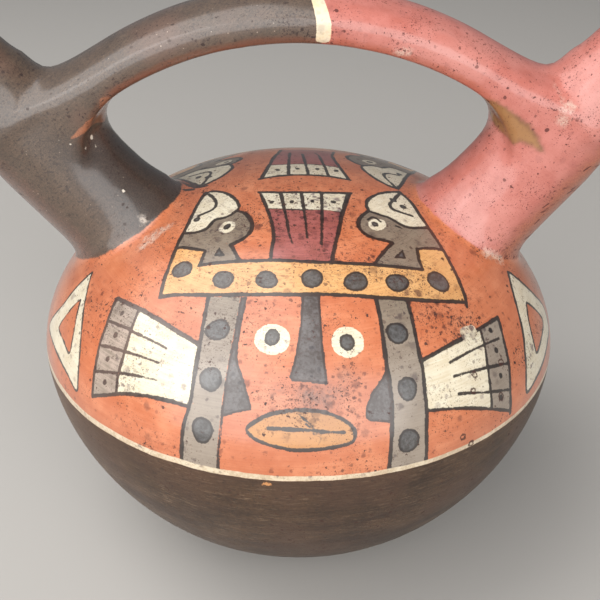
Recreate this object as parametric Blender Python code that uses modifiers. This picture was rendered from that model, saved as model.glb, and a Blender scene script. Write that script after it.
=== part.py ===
"""A double spout and bridge vessel: a hollow fired-clay body with a low dome over a deep bowl,
two tapered pouring spouts that lean apart from its shoulders, and an arched strap that joins them.

One fired piece, made here as five objects that meet at the potter's own seams. Metres, +Z up. The
origin is the centre of the flat underside, +X runs towards the red spout and the painted face looks
along -Y.
"""

from math import cos, pi, radians, sin

import bmesh
import bpy
from mathutils import Matrix, Vector

# Body
BODY_RADIUS = 0.0850  # at the widest line, where the painted dome meets the bowl
WIDEST_Z = 0.0750  # height of that line above the underside
DOME_RISE = 0.0553  # from the widest line to the dome's pole
DOME_FULLNESS = 1.87  # 2 is an ellipse, lower is leaner
BOWL_DROP = 0.0810  # to the pole that the bowl would have if it weren't flattened
BOWL_FULLNESS = 1.78
BODY_WALL = 0.0050
FLOOR_WALL = 0.0065
BASE_EASE = 0.0030  # rounding of the edge of the flat underside

# Spouts: foot on the dome's surface, lean from upright, length along the axis
SPOUTS = {
    "left": {"foot_x": -0.0575, "foot_z": 0.0392, "lean": -42.8, "radius": 0.0177},
    "right": {"foot_x": 0.0562, "foot_z": 0.0401, "lean": 39.7, "radius": 0.0171},
}
SPOUT_LENGTH = 0.0920
SPOUT_ROOT = 0.0150  # how far the clay runs on below the foot before the hollow trims it
SPOUT_TAPER = 0.035  # radius lost for each unit of length
TIP_TAPER_FROM = 0.0550  # above here it narrows faster
TIP_TAPER = 1.5  # radius lost for each square metre beyond that point
FOOT_FLARE = 0.0014  # clay smoothed out round the foot
FOOT_FLARE_REACH = 0.0100
SPOUT_WALL = 0.0032
LIP_EASE = 0.0006

# Bridge: an arched strap, concentric with the widest line
BRIDGE_UNDERSIDE = 0.1012  # radius of its underside
BRIDGE_THICKNESS = 0.0122
BRIDGE_EDGE = 0.0036  # height of its widest line above its underside
BRIDGE_WIDTH = 0.0300
BRIDGE_CROWN = 2.6  # squareness of its upper half
BRIDGE_BELLY = 3.8  # squareness of its lower half
BRIDGE_ENDS = (-50.5, 48.6)  # angle from upright at which it runs into each spout
FILLET_SPAN = 17.0  # degrees over which it thickens into the spouts
FILLET_TOP = 0.0080
FILLET_BELOW = 0.0110
FILLET_SIDE = 0.0008

SEAM = 0.0003  # between the pieces that the one fired body is parted into

# Fineness
BODY_STEPS = 56
OUTER_STEPS = (15, 14)  # up the dome and down the bowl
INNER_STEPS = (10, 9)
RING_STEPS = 28
STRAP_STEPS = 20

SLIPS = {
    "bowl": (0.085, 0.062, 0.050, 1.0),
    "dome": (0.50, 0.155, 0.065, 1.0),
    "left": (0.070, 0.055, 0.050, 1.0),
    "right": (0.36, 0.085, 0.080, 1.0),
    "bridge": (0.070, 0.055, 0.050, 1.0),
}


def clear_scene():
    for obj in list(bpy.data.objects):
        bpy.data.objects.remove(obj, do_unlink=True)


def collection(name, rendered=True):
    made = bpy.data.collections.new(name)
    made.hide_render = not rendered
    bpy.context.scene.collection.children.link(made)
    return made


def object_from(name, bm, home, helper=False):
    """A mesh object from bm, in collection home; a helper is drawn as wire and not rendered."""
    mesh = bpy.data.meshes.new(name)
    bm.to_mesh(mesh)
    bm.free()
    obj = bpy.data.objects.new(name, mesh)
    home.objects.link(obj)
    if helper:
        obj.hide_render = True
        obj.display_type = "WIRE"
    return obj


def super_quarter(radius, height, fullness, steps, cut=None):
    """Points (r, z) on a quarter of a superellipse, from its pole to its widest line, or from the
    height cut to it. They lie closer together where it bends more."""
    end = pi / 2
    if cut is not None:
        low, high = 0.0, pi / 2
        for _ in range(50):
            middle = (low + high) / 2
            low, high = (middle, high) if height * sin(middle) ** (2 / fullness) < cut else (low, middle)
        end = low
    points = []
    for i in range(steps + 1):
        angle = end * (1 - i / steps)
        points.append((radius * max(cos(angle), 0.0) ** (2 / fullness), height * sin(angle) ** (2 / fullness)))
    return points


def turned_profile(wall, base_z, floor_ease, fineness):
    """The body's outline, wall inside its outer face, from its top pole down to the axis at base_z."""
    dome = super_quarter(BODY_RADIUS - wall, DOME_RISE - wall, DOME_FULLNESS, fineness[0])
    drop = BOWL_DROP - wall
    bowl = super_quarter(BODY_RADIUS - wall, drop, BOWL_FULLNESS, fineness[1], cut=WIDEST_Z - base_z)
    outline = [(0.0 if i == 0 else r, WIDEST_Z + z) for i, (r, z) in enumerate(dome)]
    outline += [(r, WIDEST_Z - z) for r, z in reversed(bowl[:-1])]
    r_edge, z_edge = outline.pop()
    r_before, z_before = outline[-1]
    slope = Vector((r_before - r_edge, z_before - z_edge)).normalized()
    for i in range(4):
        s = i / 3
        corner = Vector((r_edge, z_edge))
        start, end = corner + slope * floor_ease, corner - Vector((floor_ease, 0.0))
        point = start * (1 - s) ** 2 + corner * 2 * s * (1 - s) + end * s**2
        outline.append((point.x, point.y))
    outline.append((0.0, z_edge))
    return outline


def outer_profile():
    return turned_profile(0.0, 0.0, BASE_EASE, OUTER_STEPS)


def inner_profile():
    return turned_profile(BODY_WALL, FLOOR_WALL, 2 * BASE_EASE, INNER_STEPS)


def bowl_shell():
    """Both faces of the bowl's wall, from the hollow's floor up over the rim and down to the underside."""
    return list(reversed(inner_profile()[INNER_STEPS[0] :])) + outer_profile()[OUTER_STEPS[0] :]


def dome_shell():
    """Both faces of the dome's wall, from its pole down to the rim and up inside."""
    rim = [(BODY_RADIUS, WIDEST_Z + SEAM), (BODY_RADIUS - BODY_WALL, WIDEST_Z + SEAM)]
    return outer_profile()[: OUTER_STEPS[0]] + rim + list(reversed(inner_profile()[: INNER_STEPS[0]]))


def turned(name, outline, steps, home, helper=False):
    """The outline (r, z) turned about Z with a Screw modifier."""
    bm = bmesh.new()
    verts = [bm.verts.new((r, 0.0, z)) for r, z in outline]
    for a, b in zip(verts, verts[1:]):
        bm.edges.new((a, b))
    obj = object_from(name, bm, home, helper)
    screw = obj.modifiers.new("turn", "SCREW")
    screw.axis = "Z"
    screw.angle = 2 * pi
    screw.steps = screw.render_steps = steps
    screw.use_merge_vertices = True
    screw.merge_threshold = 0.0001
    screw.use_smooth_shade = True
    return obj


def loft(name, rings, home, helper=False):
    """A closed solid through rings of points, each ring counter-clockwise as seen from its end."""
    bm = bmesh.new()
    levels = [[bm.verts.new(point) for point in ring] for ring in rings]
    count = len(levels[0])
    for lower, upper in zip(levels, levels[1:]):
        for i in range(count):
            j = (i + 1) % count
            bm.faces.new((lower[i], lower[j], upper[j], upper[i]))
    bm.faces.new(list(reversed(levels[0])))
    bm.faces.new(levels[-1])
    bmesh.ops.recalc_face_normals(bm, faces=bm.faces)
    return object_from(name, bm, home, helper)


def spout_radius(spout, along):
    beyond = max(0.0, along - TIP_TAPER_FROM)
    radius = spout["radius"] - SPOUT_TAPER * along - TIP_TAPER * beyond**2
    if along < FOOT_FLARE_REACH:
        radius += FOOT_FLARE * ((FOOT_FLARE_REACH - max(along, 0.0)) / FOOT_FLARE_REACH) ** 2
    return radius


def spout_place(spout):
    """Turns a loft made along +Z from the foot into the spout's place."""
    foot = Vector((spout["foot_x"], 0.0, WIDEST_Z + spout["foot_z"]))
    return Matrix.Translation(foot) @ Matrix.Rotation(radians(spout["lean"]), 4, "Y")


def ring(radius, height, place):
    return [
        place @ Vector((radius * cos(2 * pi * i / RING_STEPS), radius * sin(2 * pi * i / RING_STEPS), height))
        for i in range(RING_STEPS)
    ]


def spout_solid(name, spout, home, clearance=0.0):
    """The spout without its bore, or, with a clearance, the room that its neighbours leave for it."""
    place = spout_place(spout)
    heights = [-SPOUT_ROOT, 0.0, 0.0035, 0.0065, 0.0100, 0.032, 0.055, 0.065, 0.075, 0.084, SPOUT_LENGTH - LIP_EASE]
    rings = [ring(spout_radius(spout, h) + clearance, h, place) for h in heights]
    rings.append(ring(spout_radius(spout, SPOUT_LENGTH) - LIP_EASE + clearance, SPOUT_LENGTH, place))
    return loft(name, rings, home, helper=clearance > 0)


def bore_cutter(side, spout, home):
    place = spout_place(spout)
    heights = [-SPOUT_ROOT - 0.004, 0.0, 0.030, 0.055, 0.068, 0.080, SPOUT_LENGTH + 0.003]
    rings = []
    for h in heights:
        plain = spout["radius"] - SPOUT_TAPER * h - TIP_TAPER * max(0.0, h - TIP_TAPER_FROM) ** 2
        rings.append(ring(plain - SPOUT_WALL, h, place))
    return loft(f"{side}_bore", rings, home, helper=True)


def signed_power(value, power):
    return abs(value) ** power * (1 if value >= 0 else -1)


def bridge_section(angle):
    """The strap's section at this angle from upright: crowned above, nearly flat below."""
    past = max(0.0, angle - (BRIDGE_ENDS[1] - FILLET_SPAN), (BRIDGE_ENDS[0] + FILLET_SPAN) - angle)
    swell = (past / FILLET_SPAN) ** 2
    half = BRIDGE_WIDTH / 2 + FILLET_SIDE * swell
    above = BRIDGE_THICKNESS - BRIDGE_EDGE + FILLET_TOP * swell
    below = BRIDGE_EDGE + FILLET_BELOW * swell
    middle = BRIDGE_UNDERSIDE + BRIDGE_EDGE
    points = []
    for i in range(STRAP_STEPS):
        u = 2 * pi * i / STRAP_STEPS
        power, height = (2 / BRIDGE_CROWN, above) if sin(u) >= 0 else (2 / BRIDGE_BELLY, below)
        y = half * signed_power(cos(u), power)
        out = middle + height * signed_power(sin(u), power)
        points.append(Vector((out * sin(radians(angle)), y, WIDEST_Z + out * cos(radians(angle)))))
    return points


def bridge_solid(home):
    first, last = BRIDGE_ENDS
    steps = 26
    return loft("bridge", [bridge_section(first + (last - first) * i / steps) for i in range(steps + 1)], home)


def boolean(obj, other, operation):
    modifier = obj.modifiers.new(f"{operation.lower()}_{other.name}", "BOOLEAN")
    modifier.operation = operation
    modifier.solver = "EXACT"
    modifier.object = other


def clay_material(name, color):
    material = bpy.data.materials.new(name)
    material.use_nodes = True
    shader = material.node_tree.nodes["Principled BSDF"]
    shader.inputs["Base Color"].default_value = color
    shader.inputs["Roughness"].default_value = 0.38
    shader.inputs["Metallic"].default_value = 0.0
    material.diffuse_color = color
    return material


def main():
    """One fired piece, parted at the seams where the potter joined it: the widest line, the foot of
    each spout and the ends of the bridge."""
    clear_scene()
    home = collection("double_spout_vessel")
    helpers = collection("cutters", rendered=False)
    bowl = turned("bowl", bowl_shell(), BODY_STEPS, home)
    dome = turned("dome", dome_shell(), BODY_STEPS, home)
    cavity = turned("cavity", inner_profile(), BODY_STEPS, helpers, helper=True)
    bridge = bridge_solid(home)
    for side, spout in SPOUTS.items():
        room = spout_solid(f"{side}_room", spout, helpers, SEAM)
        boolean(dome, room, "DIFFERENCE")
        boolean(bridge, room, "DIFFERENCE")
        tube = spout_solid(f"{side}_spout", spout, home)
        boolean(tube, cavity, "DIFFERENCE")
        boolean(tube, bore_cutter(side, spout, helpers), "DIFFERENCE")
        tube.data.materials.append(clay_material(f"{side}_spout_slip", SLIPS[side]))
    bowl.data.materials.append(clay_material("bowl_slip", SLIPS["bowl"]))
    dome.data.materials.append(clay_material("dome_slip", SLIPS["dome"]))
    bridge.data.materials.append(clay_material("bridge_slip", SLIPS["bridge"]))


main()
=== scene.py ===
import math

import bmesh
import bpy
import numpy as np
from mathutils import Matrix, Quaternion, Vector


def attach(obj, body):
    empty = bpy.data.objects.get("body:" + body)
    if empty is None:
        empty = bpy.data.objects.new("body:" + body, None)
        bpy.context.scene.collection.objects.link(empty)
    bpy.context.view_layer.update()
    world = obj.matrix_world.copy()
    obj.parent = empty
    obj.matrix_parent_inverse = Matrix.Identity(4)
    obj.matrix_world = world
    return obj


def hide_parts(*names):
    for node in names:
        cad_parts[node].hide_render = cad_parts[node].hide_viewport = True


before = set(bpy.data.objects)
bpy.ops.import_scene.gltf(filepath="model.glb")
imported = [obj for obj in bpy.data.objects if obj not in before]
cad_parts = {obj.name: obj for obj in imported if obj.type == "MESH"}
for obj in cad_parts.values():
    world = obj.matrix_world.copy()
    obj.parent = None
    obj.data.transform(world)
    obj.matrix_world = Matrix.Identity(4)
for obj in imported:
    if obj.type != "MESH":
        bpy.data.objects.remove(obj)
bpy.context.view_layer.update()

CAD_NODES = ["bowl", "dome", "left_spout", "right_spout", "bridge"]

# ---------------------------------------------------------------------------------------------
# Sizes, in millimetres. They repeat the solids' own.
# ---------------------------------------------------------------------------------------------
BODY_RADIUS = 85.0
WIDEST_Z = 75.0
DOME = (55.3, 1.87)  # rise and fullness
BOWL = (81.0, 1.78)
SPOUTS = {
    "left": {"foot": (-57.5, 114.2), "lean": -42.8, "radius": 17.7, "wall": 3.2},
    "right": {"foot": (56.2, 115.1), "lean": 39.7, "radius": 17.1, "wall": 3.2},
}
SPOUT_LENGTH = 92.0
BRIDGE_IN, BRIDGE_OUT = 100.6, 113.4  # from the centre of the widest line to the strap's underside and crown
CROWN_RADIUS = 25.5  # across the strap's top
BRIDGE_ENDS = (-50.5, 48.6)
FILLET_SPAN = 19.0
WEB_HALF_WIDTH = 8.0  # of the clay smoothed into the crook between a spout and the strap

STEP = 2.5  # spacing of the first net over the vessel
DOME_EDGE = 1.60  # longest edge left on the painted dome
PAINT_EDGE = 0.80  # where an edge of the painting runs
THIN_EDGE = 0.55  # where a thin stroke runs


# ---------------------------------------------------------------------------------------------
# The outer form as a distance function, negative inside
# ---------------------------------------------------------------------------------------------
def smooth_min(a, b, k):
    h = np.maximum(k - np.abs(a - b), 0.0) / k
    return np.minimum(a, b) - h * h * h * k / 6.0


def smooth_max(a, b, k):
    return -smooth_min(-a, -b, k)


def superellipse(u, v, half_u, half_v, power):
    """Distance from the outline |u/half_u|^power + |v/half_v|^power = 1, near that outline."""
    a = np.maximum(np.abs(u) / half_u, 1e-6)
    b = np.maximum(np.abs(v) / half_v, 1e-6)
    q = (a**power + b**power) ** (1.0 / power)
    slope = np.hypot((a / q) ** (power - 1.0) / half_u, (b / q) ** (power - 1.0) / half_v)
    return (q - 1.0) / slope


def body_distance(p):
    r = np.hypot(p[:, 0], p[:, 1])
    z = p[:, 2] - WIDEST_Z
    above = z >= 0
    height = np.where(above, DOME[0], BOWL[0])
    power = np.where(above, DOME[1], BOWL[1])
    return smooth_max(superellipse(r, z, BODY_RADIUS, height, power), -p[:, 2], 4.0)


def spout_frame(spout):
    lean = math.radians(spout["lean"])
    foot = np.array([spout["foot"][0], 0.0, spout["foot"][1]])
    return foot, np.array([math.sin(lean), 0.0, math.cos(lean)])


def along_spout(p, spout):
    """How far along the axis each point is, and how far off it."""
    foot, axis = spout_frame(spout)
    d = p - foot
    t = d @ axis
    return t, np.linalg.norm(d - t[:, None] * axis, axis=1)


def spout_radius(spout, t, flare=1.4):
    t = np.asarray(t, float)
    r = spout["radius"] - 0.035 * t - 0.0015 * np.maximum(0.0, t - 55.0) ** 2
    return r + flare * (np.clip(10.0 - np.maximum(t, 0.0), 0.0, 10.0) / 10.0) ** 2


def spout_distance(p, spout):
    t, off = along_spout(p, spout)
    side = off - spout_radius(spout, np.clip(t, -15.0, SPOUT_LENGTH))
    return np.maximum(smooth_max(side, t - SPOUT_LENGTH, 3.0), -15.0 - t)


def bridge_distance(p):
    """The strap: a crowned top, a firm shoulder, a side that leans in and a flat underside."""
    x, y, z = p[:, 0], p[:, 1], p[:, 2] - WIDEST_Z
    out = np.hypot(x, z)
    angle = np.degrees(np.arctan2(x, z))
    past = np.maximum(0.0, np.maximum(angle - (BRIDGE_ENDS[1] - FILLET_SPAN), BRIDGE_ENDS[0] + FILLET_SPAN - angle))
    swell = (np.minimum(past, 26.0) / FILLET_SPAN) ** 2
    top = BRIDGE_OUT + 8.0 * swell
    crown = np.hypot(y, out - (top - CROWN_RADIUS)) - CROWN_RADIUS
    flank = np.abs(y) + 0.10 * np.maximum(106.0 - out, 0.0) - (15.0 + 0.8 * swell)
    belly = BRIDGE_IN - 14.0 * swell - out
    strap = smooth_max(smooth_max(crown, flank, 1.5), belly, 6.0)
    end = np.maximum(angle - BRIDGE_ENDS[1], BRIDGE_ENDS[0] - angle) * math.radians(1.0) * np.maximum(out, 40.0)
    return np.maximum(strap, end)


def hand_of_the_potter(p):
    """Slow unevenness of a hand-built form, always inwards."""
    x, y, z = p[:, 0], p[:, 1], p[:, 2]
    a = np.sin(x * 0.071 + y * 0.043 + 1.3) * np.sin(z * 0.062 - y * 0.051 + 0.4)
    b = np.sin(x * 0.033 - z * 0.081 + 2.1) * np.sin(y * 0.094 + x * 0.027 + 0.9)
    c = np.sin(x * 0.19 + z * 0.13) * np.sin(y * 0.17 - z * 0.11 + 0.7)
    return 0.10 * (1 + a) / 2 + 0.09 * (1 + b) / 2 + 0.05 * (1 + c) / 2


def spouts_distance(p):
    bridge = bridge_distance(p)
    above_strap = np.clip(np.hypot(p[:, 0], p[:, 2] - WIDEST_Z) - 106.0, 0.0, 12.0)
    web = WEB_HALF_WIDTH + 1.3 * above_strap  # wide over the strap's top, narrow under it
    found = None
    for spout in SPOUTS.values():
        tube = spout_distance(p, spout)
        crook = smooth_max(smooth_min(tube, bridge, 22.0 - 0.9 * above_strap), np.abs(p[:, 1]) - web, 8.0)
        crook = crook + 0.0625 * above_strap * np.clip(bridge - 10.0, 0.0, 8.0)  # only near the strap
        side = smooth_min(smooth_min(tube, bridge, 5.0), crook, 5.0)
        found = side if found is None else np.minimum(found, side)
    return found


def vessel_distance(p):
    return smooth_min(spouts_distance(p), body_distance(p), 6.5) + hand_of_the_potter(p)


def slope_of(f, p, eps=0.05):
    g = np.empty_like(p)
    for i in range(3):
        d = np.zeros(3)
        d[i] = eps
        g[:, i] = (f(p + d) - f(p - d)) / (2 * eps)
    return g


def settle(f, p, rounds=3, reach=1.5):
    """Moves points onto the surface f = 0."""
    p = p.copy()
    for _ in range(rounds):
        g = slope_of(f, p)
        step = -f(p)[:, None] * g / np.maximum((g * g).sum(1), 1e-6)[:, None]
        length = np.linalg.norm(step, axis=1)
        p += step * np.minimum(1.0, reach / np.maximum(length, 1e-9))[:, None]
    return p


def sampled(f, lo, hi, step):
    axes = [np.arange(a, b + step, step) for a, b in zip(lo, hi)]
    out = np.empty([len(a) for a in axes])
    yy, zz = np.meshgrid(axes[1], axes[2], indexing="ij")
    for i, x in enumerate(axes[0]):
        p = np.stack([np.full(yy.size, x), yy.ravel(), zz.ravel()], 1)
        out[i] = f(p).reshape(yy.shape)
    return out


def surface_net(values, lo, step):
    """One vertex in each cell that the surface crosses, and a quad across each crossed grid edge."""
    inside = values < 0
    shape = np.array(values.shape) - 1
    total = np.zeros((*shape, 3))
    count = np.zeros(shape)
    for axis in range(3):
        others = [a for a in range(3) if a != axis]
        for du in (0, 1):
            for dv in (0, 1):
                start = [slice(0, n) for n in shape]
                start[others[0]] = slice(du, du + shape[others[0]])
                start[others[1]] = slice(dv, dv + shape[others[1]])
                end = list(start)
                end[axis] = slice(1, 1 + shape[axis])
                a, b = values[tuple(start)], values[tuple(end)]
                crossed = (a < 0) != (b < 0)
                part = np.where(crossed, a / np.where(crossed, a - b, 1.0), 0.0)
                offset = [0.0, 0.0, 0.0]
                offset[others[0]], offset[others[1]] = du, dv
                for k in range(3):
                    total[..., k] += np.where(crossed, part if k == axis else offset[k], 0.0)
                count += crossed
    active = count > 0
    index = -np.ones(shape, int)
    index[active] = np.arange(active.sum())
    cells = np.argwhere(active)
    points = (cells + total[active] / count[active][:, None]) * step + np.array(lo)
    quads = []
    for axis in range(3):
        u, v = (axis + 1) % 3, (axis + 2) % 3
        start = [slice(1, n) for n in shape]
        start[axis] = slice(0, shape[axis])
        end = list(start)
        end[axis] = slice(1, 1 + shape[axis])
        a, b = inside[tuple(start)], inside[tuple(end)]
        crossed = np.argwhere(a != b)
        low_first = a[tuple(crossed.T)]
        crossed = crossed + np.array([0 if k == axis else 1 for k in range(3)])
        step_u, step_v = np.eye(3, dtype=int)[u], np.eye(3, dtype=int)[v]
        ring = [crossed - step_u - step_v, crossed - step_v, crossed, crossed - step_u]
        quad = np.stack([index[tuple(c.T)] for c in ring], 1)
        quad[~low_first] = quad[~low_first][:, ::-1]
        quads.append(quad)
    return points, np.concatenate(quads)


def relaxed(points, quads, f, rounds):
    """Evens out the net within the surface."""
    edges = np.concatenate([quads[:, [i, (i + 1) % 4]] for i in range(4)])
    for _ in range(rounds):
        total = np.zeros_like(points)
        for k in range(3):
            total[:, k] = np.bincount(edges[:, 0], points[edges[:, 1], k], len(points)) + np.bincount(edges[:, 1], points[edges[:, 0], k], len(points))
        count = np.bincount(edges[:, 0], minlength=len(points)) + np.bincount(edges[:, 1], minlength=len(points))
        points = points + 0.6 * (total / count[:, None] - points)
        points = settle(f, points, 2)
    return points


def to_triangles(points, quads):
    short = np.linalg.norm(points[quads[:, 0]] - points[quads[:, 2]], axis=1) <= np.linalg.norm(points[quads[:, 1]] - points[quads[:, 3]], axis=1)
    a, b = quads[short], quads[~short]
    return np.concatenate([a[:, [0, 1, 2]], a[:, [0, 2, 3]], b[:, [1, 2, 3]], b[:, [1, 3, 0]]])


def refined(points, triangles, wanted, f):
    """Splits the edges that wanted() picks, and what else keeps the mesh whole and well shaped."""
    n = len(points)
    pairs = np.sort(np.concatenate([triangles[:, [0, 1]], triangles[:, [1, 2]], triangles[:, [2, 0]]]), axis=1)
    keys, inverse = np.unique(pairs[:, 0] * n + pairs[:, 1], return_inverse=True)
    ends = np.stack([keys // n, keys % n], 1)
    marked = wanted(points[ends[:, 0]], points[ends[:, 1]])
    of = inverse.reshape(3, -1).T
    while True:
        two = (marked[of].sum(1) == 2)
        if not two.any():
            break
        marked[of[two].ravel()] = True
    number = np.where(marked, n + np.cumsum(marked) - 1, -1)
    middles = settle(f, (points[ends[marked, 0]] + points[ends[marked, 1]]) / 2, 2, 0.5)
    m = number[of]
    split = (m >= 0).sum(1)
    t3, m3 = triangles[split == 3], m[split == 3]
    made = [triangles[split == 0]]
    made += [
        np.stack([t3[:, 0], m3[:, 0], m3[:, 2]], 1),
        np.stack([t3[:, 1], m3[:, 1], m3[:, 0]], 1),
        np.stack([t3[:, 2], m3[:, 2], m3[:, 1]], 1),
        m3,
    ]
    for k in range(3):
        rows = (split == 1) & (m[:, k] >= 0)
        t, mid = triangles[rows], m[rows, k]
        a, b, c = t[:, k], t[:, (k + 1) % 3], t[:, (k + 2) % 3]
        made += [np.stack([a, mid, c], 1), np.stack([mid, b, c], 1)]
    return np.concatenate([points, middles]), np.concatenate(made)


# ---------------------------------------------------------------------------------------------
# The painting's own coordinates: a flat chart of the dome. A point lies at its distance s along the
# surface from the pole, in the direction th from the front, so x = s sin th and y = -s cos th.
# ---------------------------------------------------------------------------------------------
def meridian():
    a = np.linspace(0.0, math.pi / 2, 3001)
    r = BODY_RADIUS * np.sin(a) ** (2 / DOME[1])
    z = DOME[0] * np.cos(a) ** (2 / DOME[1])
    b = np.linspace(0.0, 0.9, 600)[1:]
    r = np.concatenate([r, BODY_RADIUS * np.cos(b) ** (2 / BOWL[1])])
    z = np.concatenate([z, -BOWL[0] * np.sin(b) ** (2 / BOWL[1])])
    s = np.concatenate([[0.0], np.cumsum(np.hypot(np.diff(r), np.diff(z)))])
    return s, r, z + WIDEST_Z


MERIDIAN = meridian()


def polar(*pairs):
    """Chart points from (th in degrees, s in mm)."""
    a = np.array(pairs, float)
    th = np.radians(a[:, 0])
    return np.stack([a[:, 1] * np.sin(th), -a[:, 1] * np.cos(th)], 1)


def chart(*pairs):
    return np.array(pairs, float)


def on_dome(q):
    """Chart points to points in space."""
    s = np.hypot(q[:, 0], q[:, 1])
    r = np.interp(s, MERIDIAN[0], MERIDIAN[1])
    z = np.interp(s, MERIDIAN[0], MERIDIAN[2])
    scale = r / np.maximum(s, 1e-9)
    return np.stack([q[:, 0] * scale, q[:, 1] * scale, z], 1)


def to_chart(p):
    r = np.hypot(p[:, 0], p[:, 1])
    top = len(MERIDIAN[1]) - 599
    by_r = np.interp(r, MERIDIAN[1][:top], MERIDIAN[0][:top])
    by_z = np.interp(-p[:, 2], -MERIDIAN[2], MERIDIAN[0])
    w = np.clip((r - 55.0) / 15.0, 0.0, 1.0)
    s = by_r * (1 - w) + by_z * w
    scale = s / np.maximum(r, 1e-9)
    return np.stack([p[:, 0] * scale, p[:, 1] * scale], 1)


def curve(points, closed=False, spacing=1.2):
    """A smooth line through the points (centripetal Catmull-Rom)."""
    points = np.asarray(points, float)
    if len(points) < 3:
        return straight(points, closed, spacing)
    if closed:
        ring = np.concatenate([points[-1:], points, points[:2]])
    else:
        ring = np.concatenate([2 * points[:1] - points[1:2], points, 2 * points[-1:] - points[-2:-1]])
    out = []
    for i in range(1, len(ring) - 2):
        p0, p1, p2, p3 = ring[i - 1 : i + 3]
        t = [0.0]
        for a, b in ((p0, p1), (p1, p2), (p2, p3)):
            t.append(t[-1] + max(np.linalg.norm(b - a), 1e-6) ** 0.5)
        n = max(2, int(np.linalg.norm(p2 - p1) / spacing) + 1)
        u = np.linspace(t[1], t[2], n, endpoint=False)[:, None]
        a1 = (t[1] - u) / (t[1] - t[0]) * p0 + (u - t[0]) / (t[1] - t[0]) * p1
        a2 = (t[2] - u) / (t[2] - t[1]) * p1 + (u - t[1]) / (t[2] - t[1]) * p2
        a3 = (t[3] - u) / (t[3] - t[2]) * p2 + (u - t[2]) / (t[3] - t[2]) * p3
        b1 = (t[2] - u) / (t[2] - t[0]) * a1 + (u - t[0]) / (t[2] - t[0]) * a2
        b2 = (t[3] - u) / (t[3] - t[1]) * a2 + (u - t[1]) / (t[3] - t[1]) * a3
        out.append((t[2] - u) / (t[2] - t[1]) * b1 + (u - t[1]) / (t[2] - t[1]) * b2)
    out = np.concatenate(out)
    return out if closed else np.concatenate([out, points[-1:]])


def straight(points, closed=False, spacing=2.5):
    points = np.asarray(points, float)
    if closed:
        points = np.concatenate([points, points[:1]])
    out = []
    for a, b in zip(points, points[1:]):
        n = max(1, int(np.linalg.norm(b - a) / spacing))
        out.append(a + (b - a) * (np.arange(n) / n)[:, None])
    out = np.concatenate(out)
    return out if closed else np.concatenate([out, points[-1:]])


def joined(*parts):
    return np.concatenate([np.asarray(part, float) for part in parts])


REACH = 3.0  # distances beyond this are all taken as this


def line_distance(p, line, widths):
    """Distance in space from a line of changing width to each point, less half that width."""
    out = np.full(len(p), REACH)
    for a, b, wa, wb in zip(line, line[1:], widths, widths[1:]):
        reach = REACH + max(wa, wb) / 2
        near = np.nonzero(np.all((p > np.minimum(a, b) - reach) & (p < np.maximum(a, b) + reach), axis=1))[0]
        if not len(near):
            continue
        d = b - a
        t = np.clip(((p[near] - a) @ d) / max(d @ d, 1e-12), 0.0, 1.0)
        gap = np.linalg.norm(p[near] - a - t[:, None] * d, axis=1) - (wa + (wb - wa) * t) / 2
        out[near] = np.minimum(out[near], gap)
    return out


class Painting:
    """Lines and areas on the dome, each in one layer of paint."""

    def __init__(self):
        self.strokes = []

    def line(self, layer, points, width, end_width=None, place=None):
        self.add(layer, "line", points, width, end_width, place)

    def area(self, layer, points, place=None):
        self.add(layer, "area", points, 0.0, None, place)

    def spot(self, layer, centre, rx, ry, turn=0.0, place=None, wobble=0.0, seed=0.0):
        """An ellipse whose half-sizes are taken on the surface, along and up the dome."""
        q = np.asarray(centre, float)
        s = math.hypot(*q)
        th = math.atan2(q[0], -q[1])
        r = float(np.interp(s, MERIDIAN[0], MERIDIAN[1]))
        u = np.linspace(0, 2 * math.pi, 28, endpoint=False)
        k = 1 + wobble * np.sin(2 * u + seed) + 0.6 * wobble * np.sin(3 * u + 2.3 * seed + 1)
        a, b = rx * k * np.cos(u), ry * k * np.sin(u)
        c, d = math.cos(math.radians(turn)), math.sin(math.radians(turn))
        across, up = a * c - b * d, a * d + b * c
        ths, ss = th + across / max(r, 1.0), s - up
        self.add(layer, "area", np.stack([ss * np.sin(ths), -ss * np.cos(ths)], 1), 0.0, None, place)

    def add(self, layer, kind, points, width, end_width, place):
        points = np.asarray(points, float)
        if place is not None:
            points = place(points)
        if kind == "area":
            points = straight(points, closed=True)
            points = np.concatenate([points, points[:1]])
        else:
            points = straight(points)
        space = on_dome(points)
        if end_width is None:
            widths = np.full(len(points), width)
        elif callable(end_width):
            widths = end_width(np.linspace(0, 1, len(points)))
        else:
            widths = np.linspace(width, end_width, len(points))
        self.strokes.append((layer, kind, points, space, widths))

    def distances(self, p, q, layers, thin=False):
        """Signed distance in mm to each layer's edge, negative inside, at most REACH either way.
        With thin, only strokes under a millimetre wide are taken."""
        out = {layer: np.full(len(p), REACH) for layer in layers}
        for layer, kind, flat, space, widths in self.strokes:
            if layer not in out or (thin and (kind == "area" or widths.min() > 1.0)):
                continue
            pad = REACH + widths.max() / 2
            rows = np.nonzero(np.all((p > space.min(0) - pad) & (p < space.max(0) + pad), axis=1))[0]
            if not len(rows):
                continue
            gap = line_distance(p[rows], space, widths)
            if kind == "area":
                x, y = q[rows, 0], q[rows, 1]
                inside = np.zeros(len(rows), bool)
                for (ax, ay), (bx, by) in zip(flat, flat[1:]):
                    if ay == by:
                        continue
                    crossing = ((ay > y) != (by > y)) & (x < (bx - ax) * (y - ay) / (by - ay) + ax)
                    inside ^= crossing
                gap = np.where(inside, -gap, gap)
            out[layer][rows] = np.minimum(out[layer][rows], gap)
        return out


LAYERS = ["ink", "white", "grey", "ochre", "maroon", "worn"]
paint = Painting()


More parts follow.
